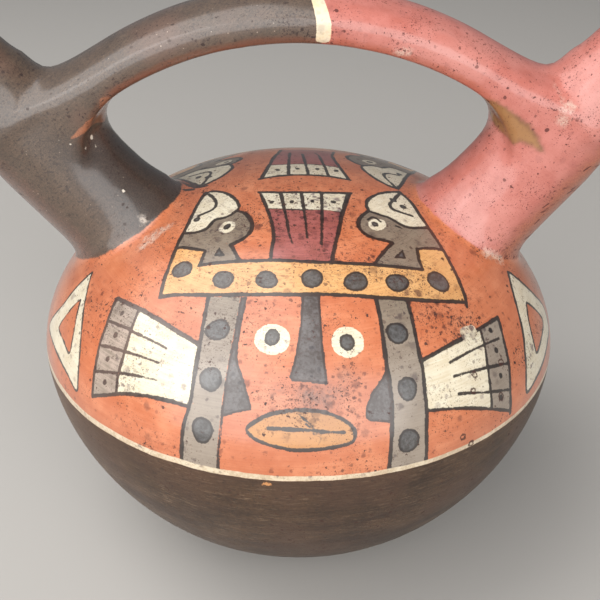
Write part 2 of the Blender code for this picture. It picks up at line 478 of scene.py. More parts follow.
def bird(place, slant, crest_top, crest_low, hook, dot, head, neck, tab, foot, triangle, eye, pupil):
    """A crested bird's head that looks over the headband, drawn from its outlines."""
    crest_edge = joined(curve(crest_top), curve(crest_low))
    behind = slant[(slant[:, 1] < crest_top[0][1] - 0.5) & (slant[:, 1] > crest_low[-1][1] + 0.5)]
    paint.area("white", joined(crest_edge, behind[np.argsort(behind[:, 1])]), place)
    cheek = joined(curve(head), curve(neck))
    lower = slant[(slant[:, 1] < crest_low[-1][1]) & (slant[:, 1] > tab[0][1])]
    paint.area("grey", joined(cheek, foot[::-1], tab[::-1], lower[np.argsort(lower[:, 1])], curve(crest_low)[::-1]), place)
    paint.line("ink", crest_edge, 1.25, place=place)
    paint.line("ink", curve(hook), 1.15, place=place)
    paint.spot("ink", dot, 1.15, 1.15, place=place)
    paint.line("ink", curve(head), 1.35, place=place)
    paint.line("ink", curve(neck), 1.25, place=place)
    paint.area("ink", triangle, place)
    paint.spot("white", eye[0], eye[1], eye[2], eye[3], place)
    paint.spot("ink", pupil[0], pupil[1], pupil[2], 0.0, place)


# The two slanted outlines that hold the headdress
SLANT_LEFT = curve(chart((-42.9, -49.6), (-42.0, -45.2), (-39.7, -37.1), (-37.8, -30.1), (-35.9, -25.1), (-33.9, -18.2), (-31.9, -10.8), (-30.2, -5.9)))
SLANT_RIGHT = curve(chart((53.3, -47.6), (53.0, -46.0), (52.2, -43.1), (50.3, -38.5), (47.8, -33.4), (45.4, -28.4), (43.0, -24.0), (40.6, -19.2), (38.1, -13.9), (35.7, -8.0), (32.3, -3.0)))
BAND_TOP = curve(polar((-36.0, 51.7), (-32.5, 49.8), (-27.4, 47.8), (-22.0, 46.2), (-14.4, 44.8), (-6.7, 44.0), (4.1, 44.3), (11.7, 44.9), (20.0, 46.4), (28.1, 48.4), (35.3, 51.2), (43.5, 55.2)))
BAND_BOTTOM = curve(polar((-40.9, 65.6), (-38.3, 63.9), (-26.4, 59.6), (-14.3, 56.9), (-2.0, 55.8), (3.4, 55.6), (13.2, 56.6), (22.8, 58.9), (32.1, 62.1), (39.8, 65.5), (48.6, 70.1)))
TAB_LEFT = chart((-38.7, -32.2), (-36.2, -32.5), (-32.5, -34.5), (-28.7, -36.4), (-29.7, -40.1), (-30.4, -41.8))
TAB_RIGHT = chart((45.6, -28.5), (42.4, -29.2), (39.0, -30.8), (36.5, -32.1), (36.8, -36.1), (38.0, -40.0))


def left_bird(place=None):
    foot = BAND_TOP[(BAND_TOP[:, 0] < -17.6)]
    bird(
        place, SLANT_LEFT,
        chart((-30.4, -6.3), (-27.8, -6.3), (-25.1, -7.9), (-22.6, -10.3), (-20.5, -13.4), (-19.2, -16.4), (-18.8, -18.7), (-19.4, -20.4)),
        chart((-19.9, -20.8), (-21.7, -22.4), (-24.0, -23.1), (-26.2, -23.2), (-27.4, -24.8), (-28.6, -26.6), (-30.9, -27.3), (-33.4, -27.0), (-35.9, -26.2)),
        chart((-29.5, -7.0), (-27.2, -11.1), (-26.2, -14.4), (-26.5, -16.6), (-27.8, -17.9), (-29.7, -18.6), (-31.7, -19.2)),
        (-32.1, -21.0),
        chart((-19.4, -20.4), (-17.3, -21.9), (-15.6, -24.3), (-14.6, -26.8), (-14.4, -29.2), (-15.0, -31.4), (-16.9, -34.0), (-18.8, -34.9), (-20.8, -35.8)),
        chart((-20.8, -35.8), (-19.3, -39.2), (-17.9, -42.9)),
        TAB_LEFT, foot,
        chart((-24.4, -36.0), (-26.0, -39.2), (-22.2, -40.4)),
        ((-22.2, -27.7), 2.4, 2.8, 0.0), ((-22.2, -27.5), 1.0, 1.35),
    )


def right_bird(place=None):
    foot = BAND_TOP[(BAND_TOP[:, 0] > 22.6)][::-1]
    bird(
        place, SLANT_RIGHT,
        chart((32.3, -3.0), (28.6, -5.2), (25.2, -7.9), (22.6, -11.0), (20.9, -14.2), (20.8, -17.3), (21.4, -19.4)),
        chart((21.9, -19.5), (24.7, -20.1), (27.8, -20.6), (30.2, -21.9), (32.2, -23.0), (34.7, -22.9), (37.3, -21.7), (40.6, -20.0)),
        chart((32.2, -4.2), (29.7, -9.9), (28.3, -13.2), (29.0, -15.4), (32.2, -16.1), (35.5, -16.3)),
        (32.8, -12.4),
        chart((21.3, -19.4), (19.5, -21.7), (18.2, -24.6), (18.0, -27.2), (18.8, -29.6), (20.6, -31.3), (23.0, -31.9), (25.7, -32.0), (28.4, -32.2)),
        chart((28.4, -32.2), (27.5, -33.8), (24.9, -38.2), (22.8, -41.9)),
        TAB_RIGHT, foot,
        chart((31.8, -33.6), (28.8, -38.4), (32.6, -37.6)),
        ((23.9, -25.3), 3.2, 2.4, 0.0), ((23.1, -25.4), 1.05, 1.15),
    )
    paint.spot("ink", (29.6, -9.9), 0.95, 1.3, place=place)
    paint.line("ink", curve(chart((20.9, -24.0), (22.7, -22.0), (25.0, -23.6))), 0.7, place=place)
    paint.line("ink", chart((29.9, -24.0), (31.6, -24.3)), 0.8, place=place)


def headdress(place=None, right_place=None):
    paint.line("ink", SLANT_LEFT, 1.3, place=place)
    paint.line("ink", SLANT_RIGHT, 1.3, place=right_place or place)
    low_left = SLANT_LEFT[SLANT_LEFT[:, 1] < TAB_LEFT[0][1]]
    low_right = SLANT_RIGHT[(SLANT_RIGHT[:, 1] < TAB_RIGHT[0][1]) & (SLANT_RIGHT[:, 1] > -46.2)]
    paint.area("ochre", joined(TAB_LEFT, BAND_TOP, TAB_RIGHT[::-1], low_right[::-1], BAND_BOTTOM[::-1], low_left), place)
    paint.line("ink", BAND_TOP, 1.3, place=place)
    paint.line("ink", BAND_BOTTOM, 1.35, place=place)
    paint.line("ink", TAB_LEFT, 1.2, place=place)
    paint.line("ink", TAB_RIGHT, 1.2, place=place)
    for i, (th, s, rx, ry) in enumerate(
        [(-40.7, 55.0, 3.2, 3.2), (-25.1, 53.7, 3.15, 3.3), (-10.8, 51.3, 3.4, 3.05), (4.4, 50.2, 3.4, 3.25), (18.8, 52.7, 3.7, 3.4), (32.0, 56.1, 3.7, 3.25), (45.4, 60.7, 3.7, 3.6)]
    ):
        paint.spot("ink", polar((th, s))[0], rx, ry, place=place, wobble=0.05, seed=1.7 * i)


def panel(place=None):
    left = curve(chart((-12.5, -12.0), (-10.6, -18.9), (-9.2, -24.7), (-8.2, -29.9), (-7.8, -34.8), (-8.2, -38.9), (-8.6, -43.6)))
    right = curve(chart((15.3, -11.2), (13.8, -18.5), (12.7, -24.7), (11.8, -31.3), (10.8, -36.5), (10.1, -40.9), (9.8, -44.2)))
    top = curve(chart((-12.9, -11.7), (-5.5, -12.7), (0.5, -12.7), (9.3, -12.2), (16.0, -11.0)))
    middle = curve(chart((-9.8, -21.1), (-5.4, -21.7), (0.9, -22.2), (7.4, -21.8), (13.2, -22.1)))
    bottom = BAND_TOP[(BAND_TOP[:, 0] > -8.6) & (BAND_TOP[:, 0] < 9.9)]
    paint.area("white", joined(top, right[right[:, 1] > -22.0], middle[::-1], left[left[:, 1] > -21.2][::-1]), place)
    paint.area("maroon", joined(middle, right[right[:, 1] < -22.2], bottom[::-1], left[left[:, 1] < -21.3][::-1]), place)
    paint.line("ink", left, 1.15, place=place)
    paint.line("ink", right, 1.5, 1.25, place=place)
    paint.line("ink", top, 1.25, place=place)
    paint.line("ink", middle, 0.6, place=place)
    paint.line("ink", curve(chart((-6.0, -12.9), (-4.8, -21.5), (-3.8, -27.9), (-3.1, -33.7), (-2.0, -37.2))), 1.25, 0.8, place=place)
    paint.line("ink", curve(chart((0.4, -12.9), (1.2, -21.5), (1.8, -27.8), (2.3, -34.8))), 1.15, 0.9, place=place)
    paint.line("ink", curve(chart((6.7, -12.9), (6.8, -22.6), (6.7, -30.3), (6.6, -37.2))), 1.25, 1.05, place=place)
    for x, y in ((-8.6, -17.8), (-2.5, -18.0), (3.9, -17.6), (10.3, -17.1)):
        paint.spot("ink", (x, y), 0.72, 0.95, place=place)


BAND_L_OUTER = curve(polar((-26.8, 60.3), (-25.1, 67.4), (-23.7, 74.9), (-22.6, 84.7), (-22.2, 91.8), (-22.6, 96.3), (-22.7, 101.3), (-22.6, 107.2), (-22.6, 113.0)))
BAND_L_STRIP = curve(polar((-17.3, 58.3), (-16.2, 69.2), (-15.8, 77.8), (-15.5, 87.4), (-15.3, 95.2), (-15.35, 107.4), (-15.4, 113.0)))
BAND_L_INNER = curve(polar((-15.3, 58.0), (-14.8, 65.8), (-14.1, 76.0)))
BAND_R_INNER = curve(polar((22.8, 59.5), (22.0, 65.2), (20.8, 72.4), (20.0, 79.3), (19.8, 84.5), (19.4, 90.1), (18.8, 95.6), (18.2, 101.3), (17.7, 108.7), (17.5, 113.0)))
BAND_R_OUTER = curve(polar((31.8, 62.3), (30.6, 67.5), (29.5, 72.7), (28.5, 78.5), (28.3, 81.6), (27.2, 88.7), (26.6, 94.3), (25.9, 99.9), (25.5, 108.1), (25.4, 113.0)))


def hanging_bands(place=None):
    """The dotted grey bands that hang from the headband on either side."""
    paint.area("grey", joined(BAND_L_OUTER, BAND_L_STRIP[::-1]), place)
    paint.line("ink", BAND_L_OUTER, 1.2, 1.3, place=place)
    for th, s, rx, ry in ((-20.6, 69.4, 3.55, 3.4), (-18.9, 83.6, 3.3, 3.6), (-18.7, 98.0, 3.3, 3.7)):
        paint.spot("ink", polar((th, s))[0], rx, ry, place=place, wobble=0.05, seed=s)
    paint.area("grey", joined(BAND_R_OUTER, BAND_R_INNER[::-1]), place)
    paint.line("ink", BAND_R_INNER, 1.35, place=place)
    paint.line("ink", BAND_R_OUTER, 1.3, place=place)
    for th, s, rx, ry in ((25.0, 71.0, 3.2, 3.5), (23.4, 87.0, 3.2, 3.3), (21.9, 101.5, 3.25, 3.7)):
        paint.spot("ink", polar((th, s))[0], rx, ry, place=place, wobble=0.05, seed=s)


def cheek_hair(place=None):
    """The dark locks that stand out from the bands on either side of the face."""
    lock = curve(polar((-14.1, 76.0), (-13.2, 78.6), (-11.7, 82.1), (-10.3, 86.0), (-9.3, 89.3)))
    under = polar((-9.3, 90.3), (-12.1, 91.5), (-14.7, 93.1))
    tail = polar((-14.75, 100.0), (-14.8, 113.0))
    paint.area("ink", joined(BAND_L_INNER, lock, under, tail, BAND_L_STRIP[::-1]), place)
    wedge = curve(polar((20.0, 79.3), (18.9, 81.6), (16.9, 84.2), (15.1, 86.9), (13.8, 90.0), (13.5, 92.5), (14.3, 94.1)))
    paint.area("ink", joined(wedge, polar((15.6, 94.4), (18.7, 95.3), (19.4, 90.1), (19.8, 84.5))), place)


def plain_band_edge(place=None):
    paint.line("ink", BAND_L_STRIP, 1.3, place=place)


def face(place=None):
    paint.spot("white", polar((-6.4, 69.9))[0], 5.0, 4.55, 0.0, place)
    paint.spot("ink", polar((-6.5, 69.4))[0], 2.15, 2.65, -12.0, place)
    paint.spot("white", polar((12.0, 71.1))[0], 4.6, 4.65, 0.0, place)
    paint.spot("ink", polar((11.9, 71.2))[0], 2.25, 2.5, 0.0, place)
    nose_right = curve(polar((6.4, 55.9), (6.2, 62.6), (6.0, 70.3), (6.2, 77.6), (6.5, 82.3)))
    nose_low = curve(polar((6.0, 82.9), (5.0, 82.5), (2.3, 82.0), (-1.3, 81.6)))
    nose_left = curve(polar((-1.9, 80.5), (-1.4, 78.0), (-0.7, 73.9), (0.1, 67.6), (0.6, 60.5), (1.0, 55.8)))
    paint.area("ink", joined(nose_right, nose_low, nose_left), place)
    mouth = curve(
        polar((-9.9, 95.7), (-7.1, 92.1), (-3.7, 90.3), (0.7, 89.5), (5.0, 90.1), (8.4, 92.0), (10.5, 94.3), (11.2, 96.9), (10.8, 98.8), (8.7, 99.8), (5.0, 100.4), (0.2, 100.7), (-3.4, 100.1), (-6.9, 98.8), (-8.9, 97.4)),
        closed=True,
    )
    paint.area("ochre", mouth, place)
    paint.line("ink", joined(mouth, mouth[:1]), 1.15, 1.1, place=place)
    paint.line("ink", curve(polar((-5.7, 94.9), (-1.1, 94.8), (2.6, 95.1), (7.1, 95.9), (9.1, 96.1))), 1.3, 0.9, place=place)


def left_fan(place=None):
    top = curve(polar((-53.4, 72.7), (-49.4, 72.1), (-42.4, 71.5), (-35.2, 72.1), (-28.8, 73.4), (-23.8, 74.9)))
    outer = curve(polar((-53.6, 72.9), (-52.6, 76.3), (-50.9, 81.6), (-49.5, 87.6), (-47.9, 94.2), (-46.5, 101.7)))
    low = curve(polar((-46.5, 101.5), (-42.3, 98.5), (-39.0, 96.1), (-32.6, 93.4), (-28.0, 92.5), (-22.3, 92.3)))
    middle = curve(polar((-44.5, 71.9), (-43.0, 78.3), (-41.7, 84.7), (-41.0, 90.4), (-39.9, 96.7)))
    band = BAND_L_OUTER[(np.hypot(*BAND_L_OUTER.T) > 75.2) & (np.hypot(*BAND_L_OUTER.T) < 92.0)]
    inner_top = polar((-44.5, 71.8), (-42.4, 71.5), (-35.2, 72.1), (-28.8, 73.4), (-24.0, 74.9))
    inner_low = polar((-22.3, 92.3), (-28.0, 92.5), (-32.6, 93.4), (-39.0, 96.1), (-39.9, 96.7))
    paint.area("white", joined(inner_top, band, inner_low, middle[::-1]), place)
    outer_low = polar((-39.9, 96.7), (-42.3, 98.5), (-46.5, 101.5))
    paint.area("grey", joined(middle, outer_low, outer[::-1], polar((-49.4, 72.1), (-44.5, 71.8))), place)
    paint.line("ink", top, 1.35, 1.5, place=place)
    paint.line("ink", outer, 1.2, place=place)
    paint.line("ink", low, 1.1, 1.25, place=place)
    paint.line("ink", middle, 1.1, place=place)
    for a, b in (((-42.6, 78.3), (-31.5, 78.6)), ((-41.6, 84.4), (-32.0, 83.2)), ((-40.7, 90.6), (-30.7, 88.0))):
        paint.line("ink", polar(a, b), 1.0, 0.6, place=place)
    for a, b in (((-51.0, 79.6), (-42.9, 78.0)), ((-49.1, 86.7), (-41.6, 84.4)), ((-48.0, 94.5), (-40.7, 90.8))):
        paint.line("ink", polar(a, b), 1.0, place=place)
    for th, s in ((-48.7, 75.4), (-46.6, 81.8), (-45.5, 88.9), (-43.9, 95.4)):
        paint.spot("ink", polar((th, s))[0], 0.85, 0.95, place=place)


def right_fan(place=None):
    top = curve(polar((28.2, 80.4), (31.1, 79.9), (35.1, 79.2), (40.9, 78.8), (47.2, 78.9), (55.5, 79.6)))
    outer = curve(polar((55.6, 79.7), (53.2, 86.0), (51.3, 93.2), (49.4, 100.2), (48.5, 107.4)))
    low = curve(polar((26.6, 94.4), (31.0, 95.7), (35.9, 97.7), (42.2, 101.6), (48.5, 106.6)))
    middle = curve(polar((47.9, 79.0), (46.4, 84.5), (44.9, 89.2), (43.6, 95.2), (42.7, 101.9)))
    band = BAND_R_OUTER[(np.hypot(*BAND_R_OUTER.T) > 80.6) & (np.hypot(*BAND_R_OUTER.T) < 94.2)]
    inner_top = polar((28.4, 80.3), (31.1, 79.9), (35.1, 79.2), (40.9, 78.8), (47.9, 79.0))
    inner_low = polar((42.7, 101.9), (35.9, 97.7), (31.0, 95.7), (26.6, 94.4))
    paint.area("white", joined(inner_top, middle, inner_low, band[::-1]), place)
    paint.area("grey", joined(middle, polar((42.7, 101.9), (48.5, 106.6)), outer[::-1], polar((47.9, 79.0))), place)
    paint.line("ink", top, 1.25, place=place)
    paint.line("ink", outer, 1.25, place=place)
    paint.line("ink", low, 1.1, place=place)
    paint.line("ink", middle, 1.0, place=place)
    for a, b, c in (((35.3, 83.6), (46.8, 83.6), (51.9, 84.7)), ((35.1, 87.7), (44.6, 89.9), (51.3, 92.6)), ((34.9, 92.9), (43.2, 96.8), (49.5, 100.0))):
        paint.line("ink", curve(polar(a, b, c)), 0.85, 1.0, place=place)
    for th, s in ((50.7, 81.3), (49.3, 87.0), (47.6, 94.3), (46.0, 100.3)):
        paint.spot("ink", polar((th, s))[0], 0.8, 0.9, place=place)


def side_triangle(corners, hollow, place=None, stroke=0.85):
    """A cream triangle round a bare one, with thin dark outlines."""
    outer, inner = curve(corners, closed=True), curve(hollow, closed=True)
    paint.area("white", outer, place)
    paint.line("ink", joined(outer, outer[:1]), stroke, place=place)
    paint.area("bare", inner, place)
    paint.line("ink", joined(inner, inner[:1]), 0.8 * stroke, place=place)


TRI_LEFT = (polar((-70.9, 74.3), (-69.7, 75.4), (-63.7, 81.0), (-57.8, 88.0), (-54.3, 94.4), (-52.0, 103.6), (-52.6, 104.2), (-56.4, 102.4), (-65.7, 100.6), (-75.6, 100.3), (-76.0, 99.4), (-72.8, 89.8), (-72.1, 82.4), (-71.3, 76.0)),
            polar((-66.1, 82.0), (-63.8, 85.0), (-60.6, 90.1), (-58.6, 95.6), (-59.0, 96.2), (-63.2, 95.3), (-68.0, 94.8), (-68.4, 94.2), (-67.6, 88.0), (-66.4, 82.6)))
TRI_RIGHT = (polar((73.8, 74.4), (74.6, 76.0), (75.9, 81.0), (78.2, 88.2), (80.6, 94.6), (80.4, 96.0), (77.9, 101.0), (72.5, 101.8), (67.2, 103.4), (61.5, 104.7), (56.0, 105.8), (55.4, 105.2), (55.6, 103.0), (58.4, 94.6), (61.6, 88.5), (64.1, 83.9), (68.5, 78.2), (73.0, 74.8)),
             polar((70.6, 85.0), (73.5, 90.8), (74.6, 94.4), (74.0, 95.4), (70.1, 96.7), (64.0, 98.2), (63.5, 97.8), (64.7, 92.3), (67.0, 87.8), (70.0, 85.2)))


def turned_about(x, y):
    """The back's design is the front's turned half round about the point (x/2, y/2) of the chart."""
    return lambda points: np.array([x, y]) - points


headdress()
left_bird()
right_bird()
panel()
hanging_bands()
cheek_hair()
face()
left_fan()
right_fan()
side_triangle(*TRI_LEFT)
side_triangle(*TRI_RIGHT, stroke=1.15)

# damage on the painting: fine cracks across the mouth, a rubbed patch on the right fan, and a dark crack
# between the left spout and a crest
paint.line("ink", curve(chart((0.4, -90.6), (2.0, -92.0), (4.3, -93.4), (5.3, -94.6), (5.0, -96.0), (7.7, -97.0), (6.8, -99.0))), 0.55, 0.4)
paint.line("ink", chart((5.0, -96.0), (8.6, -95.6), (10.5, -95.2)), 0.5, 0.35)
paint.line("ink", chart((2.7, -93.3), (4.6, -94.6)), 0.8, 0.4)
paint.area("worn", curve(polar((41.4, 77.2), (43.0, 76.0), (45.0, 76.4), (46.6, 77.6), (46.4, 79.6), (44.8, 80.6), (43.2, 79.6), (41.6, 79.4)), closed=True))
paint.line("ink", curve(polar((-108.8, 48.1), (-99.9, 40.9), (-93.8, 36.4), (-89.0, 33.4), (-87.8, 30.2))), 2.3, 1.0)
paint.line("ink", curve(polar((-92.0, 42.5), (-89.1, 38.7), (-87.8, 34.9))), 2.2, 1.4)

BACK, BACK_PANEL = turned_about(1.5, -7.0), turned_about(3.0, -14.0)


def back_bird(points):
    """The back's second bird sits a little further out than its mirror image, and less so near the headband."""
    turned = BACK(points)
    near = turned[:, 1].copy()
    turned[:, 0] += 2.2 * np.clip((10.0 - near) / 10.0, 0.0, 1.0) - 3.7 * np.clip((36.0 - near) / 14.0, 0.0, 1.0)
    turned[:, 1] += 3.4 * np.clip((24.0 - near) / 14.0, 0.0, 1.0)
    return turned


headdress(BACK, back_bird)
left_bird(BACK)
right_bird(back_bird)
panel(BACK_PANEL)
hanging_bands(BACK)
plain_band_edge(BACK)
left_fan(BACK)
right_fan(BACK)
side_triangle(*TRI_LEFT, place=BACK)
side_triangle(*TRI_RIGHT, place=BACK)


# ---------------------------------------------------------------------------------------------
# Marks on the spouts and the strap, as chains of balls in space: (first radius, last radius, points)
# ---------------------------------------------------------------------------------------------
MARKS = {
    "clay": [
        (4.2, 2.4, [(-60.3, -2.9, 152.0), (-61.7, -7.8, 151.6)]),
        (2.4, 1.2, [(-61.7, -7.8, 151.6), (-63.6, -12.6, 150.8), (-65.4, -13.9, 149.4)]),
        (1.2, 0.3, [(-65.4, -13.9, 149.4), (-68.4, -14.5, 147.1)]),
        (3.4, 3.4, [(-60.0, 4.0, 151.8), (-60.3, -2.9, 151.8)]),
        (2.0, 2.8, [(-58.0, -12.9, 158.6), (-59.8, -9.4, 155.2), (-61.0, -8.0, 153.0)]),
        (2.6, 1.6, [(-61.4, -10.6, 152.8), (-63.4, -12.9, 151.2)]),
    ],
    "mustard": [
        (2.2, 3.2, [(54.0, -9.6, 160.6), (57.0, -12.8, 157.8), (58.9, -13.4, 156.0)]),
        (3.0, 2.4, [(56.0, -1.0, 156.0), (58.4, -3.5, 153.0), (61.0, -8.4, 150.4), (64.0, -13.6, 148.6)]),
        (2.8, 3.0, [(52.5, -4.0, 158.0), (56.0, -8.5, 155.0), (59.5, -12.0, 152.6), (62.5, -13.9, 150.6)]),
        (3.2, 3.5, [(58.9, -13.4, 156.0), (62.2, -14.2, 153.2), (65.6, -14.6, 150.6)]),
        (3.5, 0.7, [(65.6, -14.6, 150.6), (69.2, -14.9, 148.2), (72.3, -15.5, 145.2)]),
    ],
    "pale": [
        (0.7, 1.2, [(75.1, -8.8, 162.3), (76.0, -11.4, 160.0), (77.2, -12.8, 158.4)]),
        (2.5, 1.6, [(78.2, -13.5, 157.4), (77.6, -14.9, 154.8)]),
        (0.9, 0.5, [(-48.4, -24.6, 115.8), (-45.2, -23.2, 117.6), (-42.9, -21.4, 119.1), (-39.8, -19.2, 120.9)]),
        (0.8, 0.5, [(-47.4, -21.8, 117.0), (-45.0, -20.6, 118.5), (-42.6, -19.4, 119.7)]),
        (1.0, 0.7, [(58.2, -19.6, 112.6), (61.3, -18.3, 110.7), (63.6, -17.5, 108.7)]),
        (0.75, 0.65, [(28.0, -14.1, 174.4), (31.0, -14.6, 175.0)]),
        (0.85, 0.7, [(-48.4, -15.9, 120.4), (-48.9, -15.7, 120.9)]),
    ],
    "chips": [
        (0.75, 0.6, [(-64.0, -8.3, 145.3), (-63.9, -8.4, 144.6)]),
        (0.38, 0.30, [(-62.9, -8.5, 142.4), (-62.7, -8.7, 142.0)]),
        (0.6, 0.35, [(-65.2, -11.4, 142.6), (-66.8, -11.8, 142.2)]),
        (0.42, 0.32, [(-69.3, -14.6, 145.4), (-68.8, -14.6, 144.8)]),
        (0.34, 0.30, [(-64.3, -9.3, 143.2), (-64.2, -9.4, 142.9)]),
        (0.34, 0.30, [(-61.4, -14.6, 158.8), (-61.3, -14.6, 158.5)]),
        (0.36, 0.33, [(-72.3, -15.1, 146.4), (-72.1, -15.1, 146.2)]),
        (0.55, 0.50, [(-54.6, -12.4, 128.9), (-54.7, -12.4, 129.2)]),
    ],
}
RINGS = [  # dried-up water marks, brown at their edge: radius, centre
    (0.95, (59.8, -51.8, 93.1)),
    (0.85, (50.9, -59.8, 93.9)),
    (0.75, (50.5, -62.9, 90.4)),
    (1.05, (59.8, -57.7, 84.8)),
    (0.80, (47.5, -69.9, 79.1)),
    (0.80, (50.4, -68.3, 75.6)),
]
STREAKS = [  # dark streaks and one round stain on the red spout: radius, two ends
    (0.50, (72.0, -9.6, 112.4), (74.8, -7.0, 112.8)),
    (0.34, (74.0, -12.0, 119.0), (75.2, -11.9, 120.4)),
    (0.28, (75.3, -14.1, 125.6), (77.0, -13.7, 126.8)),
    (0.34, (86.6, -12.9, 137.5), (88.6, -12.4, 139.3)),
    (0.62, (73.0, -15.4, 151.5), (73.2, -15.4, 151.7)),
]


def mark_distance(p, name):
    out = np.full(len(p), REACH)
    for first, last, chain in MARKS[name]:
        out = np.minimum(out, line_distance(p, np.array(chain, float), 2 * np.linspace(first, last, len(chain))))
    return out


def stripe_distance(p):
    """The cream stripe painted over the strap's crown, between its dark and its red half."""
    out = np.hypot(p[:, 0], p[:, 2] - WIDEST_Z)
    middle = 3.6 + 0.012 * p[:, 1] ** 2
    across = np.abs(p[:, 0] - middle) - (1.75 + 0.0016 * p[:, 1] ** 2)
    return np.clip(smooth_max(across, BRIDGE_IN + 1.4 - out, 2.0), -REACH, REACH)


# ---------------------------------------------------------------------------------------------
# Building the vessel's mesh
# ---------------------------------------------------------------------------------------------
def on_painted_dome(p):
    return (p[:, 2] > WIDEST_Z - 3.0) & (body_distance(p) < spouts_distance(p) + 2.5)


def coarse_pass(a, b):
    mid, length = (a + b) / 2, np.linalg.norm(a - b, axis=1)
    lips = np.zeros(len(mid), bool)
    for spout in SPOUTS.values():
        t, _ = along_spout(mid, spout)
        lips |= t > SPOUT_LENGTH - 4.0
    return (length > DOME_EDGE) & (on_painted_dome(mid) | lips)


def painted_pass(longest, thin, band):
    """Picks the edges longer than that which an edge of the painting crosses or comes near."""

    def wanted(a, b):
        mid, length = (a + b) / 2, np.linalg.norm(a - b, axis=1)
        out = np.zeros(len(mid), bool)
        rows = np.nonzero((length > longest) & on_painted_dome(mid) & (mid[:, 2] > WIDEST_Z + 1.0))[0]
        spots = np.concatenate([a[rows], b[rows], mid[rows]])
        found = paint.distances(spots, to_chart(spots), LAYERS + ["bare"], thin)
        n = len(rows)
        for value in found.values():
            va, vb, vm = value[:n], value[n : 2 * n], value[2 * n :]
            out[rows] |= ((va < 0) != (vb < 0)) | ((va < 0) != (vm < 0)) | (np.abs(vm) < band)
        return out

    return wanted


def marked_pass(longest, band):
    """Picks the edges longer than that near the marks on the spouts and the strap."""

    def wanted(a, b):
        mid, length = (a + b) / 2, np.linalg.norm(a - b, axis=1)
        out = np.zeros(len(mid), bool)
        rows = np.nonzero((length > longest) & (mid[:, 2] > 100.0))[0]
        nearest = np.min([np.abs(mark_distance(mid[rows], name)) for name in MARKS] + [np.abs(stripe_distance(mid[rows])) + np.where(mid[rows, 2] > 160.0, 0.0, REACH)], axis=0)
        out[rows] = nearest < band
        return out

    return wanted


lo = np.array([-131.0, -88.0, -3.0])
hi = np.array([127.0, 88.0, 196.0])
net_points, net_quads = surface_net(sampled(vessel_distance, lo, hi, STEP), lo, STEP)
net_points = relaxed(settle(vessel_distance, net_points), net_quads, vessel_distance, 3)
triangles = to_triangles(net_points, net_quads)
points = net_points
print("net", len(triangles))
points, triangles = refined(points, triangles, coarse_pass, vessel_distance)
print("dome", len(triangles))
points, triangles = refined(points, triangles, marked_pass(1.5, 1.3), vessel_distance)
points, triangles = refined(points, triangles, marked_pass(0.8, 0.6), vessel_distance)
print("marks", len(triangles))
points, triangles = refined(points, triangles, painted_pass(PAINT_EDGE, False, 0.35), vessel_distance)
print("painted", len(triangles))
points, triangles = refined(points, triangles, painted_pass(THIN_EDGE, True, 0.15), vessel_distance)
print("outer mesh", len(points), len(triangles))


def mesh_object(name, verts_mm, faces):
    mesh = bpy.data.meshes.new(name)
    mesh.from_pydata([tuple(v) for v in (np.asarray(verts_mm) / 1000.0)], [], [tuple(int(i) for i in f) for f in faces])
    mesh.validate()
    obj = bpy.data.objects.new(name, mesh)
    bpy.context.scene.collection.objects.link(obj)
    return obj


def lathe(name, outline, origin, axis, steps):
    """A closed turned solid. The outline is (distance along the axis, radius), both ends at radius 0."""
    axis = np.asarray(axis, float)
    side = np.array([0.0, 1.0, 0.0])
    third = np.cross(axis, side)
    verts, faces = [], []
    ends = []
    rings = []
    for along, radius in outline:
        centre = np.asarray(origin, float) + along * axis
        if radius <= 0:
            ends.append(len(verts))
            rings.append([len(verts)] * steps)
            verts.append(centre)
            continue
        ring = []
        for i in range(steps):
            u = 2 * math.pi * i / steps
            ring.append(len(verts))
            verts.append(centre + radius * (math.cos(u) * side + math.sin(u) * third))
        rings.append(ring)
    for low, high in zip(rings, rings[1:]):
        for i in range(steps):
            j = (i + 1) % steps
            face = [low[i], low[j], high[j], high[i]]
            seen = []
            for k in face:
                if k not in seen:
                    seen.append(k)
            if len(seen) >= 3:
                faces.append(seen)
    obj = mesh_object(name, verts, faces)
    bm = bmesh.new()
    bm.from_mesh(obj.data)
    bmesh.ops.recalc_face_normals(bm, faces=bm.faces)
    bmesh.ops.triangulate(bm, faces=bm.faces)
    bm.to_mesh(obj.data)
    bm.free()
    return obj


def hollow_outline():
    """The inside of the body, 5 mm within its outer face and 6.5 mm above its underside."""
    out = [(WIDEST_Z + DOME[0] - 5.0, 0.0)]
    for i in range(1, 21):
        u = math.pi / 2 * i / 20
        out.append((WIDEST_Z + (DOME[0] - 5.0) * math.cos(u) ** (2 / DOME[1]), 80.0 * math.sin(u) ** (2 / DOME[1])))
    for i in range(1, 40):
        u = math.pi / 2 * i / 40
        z = WIDEST_Z - (BOWL[0] - 5.0) * math.sin(u) ** (2 / BOWL[1])
        if z <= 9.0:
            break
        out.append((z, 80.0 * math.cos(u) ** (2 / BOWL[1])))
    z, r = out[-1]
    out += [(7.6, r - 2.6), (6.7, r - 6.0), (6.5, r - 10.0), (6.5, 0.0)]
    return out


def bore_outline(spout):
    """The bore, with its inner lip rounded at the mouth."""
    out = [(-19.0, 0.0)]
    for t in (-19.0, -10.0, 0.0, 12.0, 24.0, 36.0, 46.0, 55.0, 62.0, 69.0, 76.0, 82.0, 87.0):
        out.append((t, float(spout_radius(spout, t, 0.0)) - spout["wall"]))
    mouth = float(spout_radius(spout, SPOUT_LENGTH, 0.0)) - spout["wall"]
    for k in range(7):
        u = math.pi / 2 * k / 6
        out.append((SPOUT_LENGTH - 1.3 + 1.3 * math.sin(u), mouth + 1.25 * (1 - math.cos(u))))
    out += [(SPOUT_LENGTH + 3.0, mouth + 1.25), (SPOUT_LENGTH + 3.0, 0.0)]
    return out


